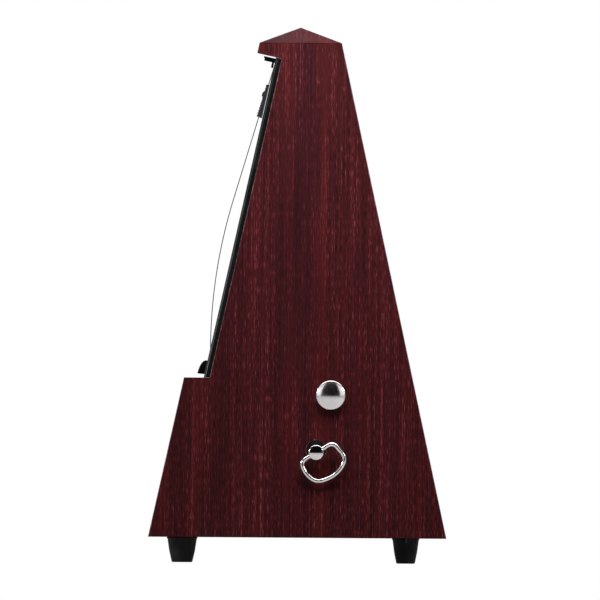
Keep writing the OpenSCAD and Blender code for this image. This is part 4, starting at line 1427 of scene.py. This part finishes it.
@dataclass
class Feet:
    """Three tapered rubber feet with their screws' recesses."""

    top: float = 12.7 * MM
    tip: float = 8.6 * MM
    high: float = 10.2 * MM
    rear_ratio: float = 0.9
    recess: float = 5.3 * MM
    recess_high: float = 7.0 * MM
    hole: float = 3.12 * MM

    def foot(self, name: str, middle: Vector, ratio: float) -> bpy.types.Object:
        """One foot.

        Args:
            name: Name of the new object.
            middle: Place on the table under its middle.
            ratio: Its width against that of the front feet.
        """
        tip, top = self.tip / 2 * ratio, self.top / 2 * ratio
        swell = 0.12 * MM
        profile = [
            (self.recess / 2, 0.25 * MM), (self.recess / 2 + 0.25 * MM, 0), (tip - 0.5 * MM, 0),
            (tip - 0.15 * MM, 0.2 * MM), (tip, 0.6 * MM),
            ((tip + top) / 2 - swell, self.high * 0.45), (top - 0.4 * MM, self.high - 0.7 * MM),
            (top - 0.05 * MM, self.high - 0.3 * MM), (top - 0.25 * MM, self.high),
            (self.hole / 2, self.high), (self.hole / 2, self.recess_high),
            (self.recess / 2, self.recess_high)]
        piece = Bench.spin(name, profile, 72, closed=True)
        piece.data.transform(Matrix.Translation(middle))
        return Bench.smooth(piece, 40)

    def build(self) -> list[bpy.types.Object]:
        """The three feet."""
        low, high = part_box("front_feet")
        side = high.x - self.top / 2
        front_y = (low.y + high.y) / 2
        left = self.foot("front_foot_left", Vector((-side, front_y, 0)), 1)
        right = Bench.copy(left, "front_foot_right", (2 * side, 0, 0))
        low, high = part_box("rear_foot")
        rear = self.foot("rear_foot_rubber", Vector((0, (low.y + high.y) / 2, 0)), self.rear_ratio)
        Finish.RUBBER.on(left, right, rear)
        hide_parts("front_feet")
        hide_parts("rear_foot")
        return [left, right, rear]


# --------------------------------------------------------------------------
# The movement and the room it stands in


@dataclass
class Movement:
    """The parts inside the case and under it, which keep the shapes they came with."""

    nodes: dict[str, bpy.types.Object]
    finishes: dict[Finish, tuple[str, ...]] = field(default_factory=lambda: {
        Finish.BOARD: ("base_plate",),
        Finish.BLACKED: ("foot_screws", "base_screws"),
        Finish.STEEL: (
            "pendulum_arbor", "pallets", "counterweight_arm",
            "pillars", "pillar_screws", "frame_screws", "winding_arbor", "ratchet_wheel", "click",
            "click_stud", "second_arbor", "escape_arbor", "selector_rod", "bell_post",
            "bell_nut", "hammer_arbor", "hammer_tail"),
        Finish.ZINC: ("left_plate", "right_plate", "counterweight"),
        Finish.BRASS: (
            "pendulum_hub", "front_bridge", "rear_cock", "great_wheel", "barrel", "barrel_cover",
            "second_wheel", "escape_wheel", "bell_drum", "hammer"),
        Finish.BLUED: ("weight_spring", "mainspring", "click_spring", "hammer_spring"),
        Finish.CHROME: ("bell",)})

    def dress(self) -> int:
        """Gives each part its finish, and says how many there are."""
        for finish, names in self.finishes.items():
            finish.on(*(self.nodes[name] for name in names))
        return sum(len(names) for names in self.finishes.values())


@dataclass(frozen=True)
class Lamp:
    """A soft box.

    It hangs at a place and faces a target. Its size is the length of its side,
    and its power is in watts. A sheen lamp shows only as a sheen on what is
    glossy, and gives no other light.
    """

    name: str
    place: Sequence[float]
    target: Sequence[float]
    size: float
    power: float
    sheen: bool = False


LAMPS = (
    Lamp("key_light", (0.24, 0.1, 0.51), (0.02, 0, 0.2), 0.3, 3.0),
    Lamp("front_light", (0.25, -1.1, 0.5), (0, 0, 0.1), 0.8, 8),
    Lamp("back_light", (-0.9, 0.7, 1.0), (0, 0, 0.1), 1.0, 9),
    Lamp("edge_light", (0.5, 1.0, 0.5), (0.03, 0.04, 0.15), 0.5, 7, sheen=True),
    Lamp("sheen_light", (0.18, 0.05, 0.66), (0.04, 0, 0.2), 1.2, 6.5, sheen=True),
    Lamp("line_light", (0.55, -0.95, 0.4), (0, -0.03, 0.14), 0.3, 9, sheen=True))


@dataclass
class Studio:
    """The floor, the backdrop, the lamps and the camera."""

    frame_width: float = 243.2 * MM
    centre_y: float = 0.45 * MM
    centre_z: float = 106.6 * MM
    roll: float = 0.42
    distance: float = 1.2
    clip_end: float = 20
    room_light: float = 0.08
    room_seen: float = 1.0
    floor_side: float = 6.0
    floor_gap: float = 0.02 * MM
    floor_shade: float = 0.32
    floor_glow: float = 0.38
    flag_out: float = 0.9
    flag_low: float = 0.01
    flag_high: float = 1.35
    flag_wide: float = 1.4
    flag_narrow: float = 0.8
    flag_thick: float = 0.01
    flag_taper: float = 0.6
    flag_tall: float = 0.5
    card_grey: float = 0.01
    sky_edge: float = -0.2
    sky_glow: float = 9
    sheen_deep: float = 0.25

    def world(self) -> None:
        """A dim room that the camera and mirroring surfaces see as white."""
        world = bpy.data.worlds.new("room")
        bpy.context.scene.world = world
        world.use_nodes = True
        tree = world.node_tree
        background = tree.nodes["Background"]
        background.inputs["Color"].default_value = (1, 1, 1, 1)
        background.inputs["Strength"].default_value = self.room_light
        seen = tree.nodes.new("ShaderNodeBackground")
        seen.inputs["Color"].default_value = (1, 1, 1, 1)
        seen.inputs["Strength"].default_value = self.room_seen
        path = tree.nodes.new("ShaderNodeLightPath")
        either = tree.nodes.new("ShaderNodeMath")
        either.operation = "MAXIMUM"
        tree.links.new(path.outputs["Is Camera Ray"], either.inputs[0])
        tree.links.new(path.outputs["Is Glossy Ray"], either.inputs[1])
        mix = tree.nodes.new("ShaderNodeMixShader")
        tree.links.new(either.outputs[0], mix.inputs[0])
        tree.links.new(background.outputs[0], mix.inputs[1])
        tree.links.new(seen.outputs[0], mix.inputs[2])
        tree.links.new(mix.outputs[0], tree.nodes["World Output"].inputs["Surface"])

    def floor(self) -> bpy.types.Object:
        """A plain white floor that keeps the object's shadow."""
        Bench.clear()
        bpy.ops.mesh.primitive_plane_add(size=self.floor_side, location=(0, 0, -self.floor_gap))
        floor = Bench.settle(Bench.named("floor"))
        nodes = Nodes("floor_white")
        nodes.set(Base_Color=(*(self.floor_shade,) * 3, 1), Roughness=0.8,
                  Specular_IOR_Level=0.0, Emission_Color=(1, 1, 1, 1),
                  Emission_Strength=self.floor_glow)
        floor.data.materials.append(nodes.material)
        floor.visible_diffuse = False
        return floor

    def hang(self, lamp: Lamp) -> None:
        """Hangs one soft box.

        Args:
            lamp: What it is like.
        """
        data = bpy.data.lights.new(lamp.name, "AREA")
        data.shape = "RECTANGLE"
        data.size = lamp.size
        data.size_y = self.sheen_deep if lamp.sheen else lamp.size
        data.energy = lamp.power
        box = bpy.data.objects.new(lamp.name, data)
        bpy.context.collection.objects.link(box)
        box.location = lamp.place
        box.visible_glossy = lamp.sheen
        box.visible_diffuse = not lamp.sheen
        facing = Vector(lamp.target) - Vector(lamp.place)
        box.rotation_euler = facing.to_track_quat("-Z", "Y").to_euler()

    def card(self, name: str, low: Sequence[float], high: Sequence[float],
             glow: float = 0.0) -> bpy.types.Object:
        """A flat card that only reflections show, narrower at the top where it is tall.

        Args:
            name: Name of the card.
            low: Its lowest corner.
            high: Its highest corner.
            glow: How much light it gives off.
        """
        card = Bench.block(name, low, high)
        for vertex in card.data.vertices:
            if vertex.co.z > (low[2] + high[2]) / 2 and high[2] - low[2] > self.flag_tall:
                vertex.co.y *= self.flag_taper
        nodes = Nodes(name)
        nodes.set(Base_Color=(*(self.card_grey,) * 3, 1), Roughness=1.0,
                  Specular_IOR_Level=0.0, Emission_Color=(1, 1, 1, 1), Emission_Strength=glow)
        card.data.materials.append(nodes.material)
        card.visible_camera = False
        card.visible_diffuse = False
        card.visible_shadow = False
        card.visible_transmission = False
        return card

    def camera(self) -> None:
        """A camera far off on the right-hand side, level with the object."""
        data = bpy.data.cameras.new("camera")
        data.type = "ORTHO"
        data.ortho_scale = self.frame_width
        data.clip_end = self.clip_end
        camera = bpy.data.objects.new("camera", data)
        bpy.context.collection.objects.link(camera)
        camera.location = (self.distance, self.centre_y, self.centre_z)
        turn = Vector((-1, 0, 0)).to_track_quat("-Z", "Y").to_matrix()
        turn = turn @ Matrix.Rotation(math.radians(self.roll), 3, "Z")
        camera.rotation_euler = turn.to_euler()
        bpy.context.scene.camera = camera

    def build(self) -> None:
        """Sets up the whole room."""
        self.world()
        self.floor()
        for lamp in LAMPS:
            self.hang(lamp)
        low, high, out, thick = self.flag_low, self.flag_high, self.flag_out, self.flag_thick
        wide, narrow = self.flag_wide / 2, self.flag_narrow / 2
        self.card("flag_right", (out, -wide, low), (out + thick, wide, high))
        self.card("sky_card", (-out, -narrow, high), (self.sky_edge, narrow, high + thick),
                  self.sky_glow)
        self.card("flag_left", (-out - thick, -wide, low), (-out, wide, high))
        self.card("flag_front", (-narrow, -out - thick, low), (narrow, -out, high))
        self.card("flag_rear", (-narrow, out, low), (narrow, out + thick, high))
        self.camera()
        bpy.context.scene.view_settings.view_transform = "Standard"


def corners(low: Vector, high: Vector) -> list[list[float]]:
    """A box's two corners as plain lists."""
    return [list(low), list(high)]


def main() -> None:
    """Builds the studio and dresses the object, piece by piece."""
    logging.basicConfig(level=logging.INFO, format="%(message)s")
    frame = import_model()
    Studio().build()
    log.info("studio: floor, lamps, cards and camera")

    case = Case()
    for piece in (case.build(), case.key_felt()):
        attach(piece, "case")
        log.info("%s: %d faces", piece.name, len(piece.data.polygons))

    panel = FrontPanel()
    for piece in (panel.build(), panel.scale_plate(), panel.print_marks()):
        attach(piece, "case")
        log.info("%s: %d faces", piece.name, len(piece.data.polygons))

    fittings = CoverFittings()
    for piece in (fittings.hooks(), fittings.latch()):
        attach(piece, "case")
        log.info("%s: %d faces", piece.name, len(piece.data.polygons))

    pendulum = Pendulum()
    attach(pendulum.rod(), "pendulum")
    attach(pendulum.weight(), "sliding_weight")
    log.info("pendulum: rod and sliding weight")

    key = WindingKey()
    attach(key.shaft(), "winding")
    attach(key.ring(), "ring")
    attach(BellKnob().build(), "selector")
    log.info("winding key, ring and bell knob")

    for foot in Feet().build():
        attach(foot, "case")
    log.info("three feet")

    dressed = Movement(frame["nodes"]).dress()
    log.info("movement: %d parts dressed", dressed)


if __name__ == "__main__":
    main()
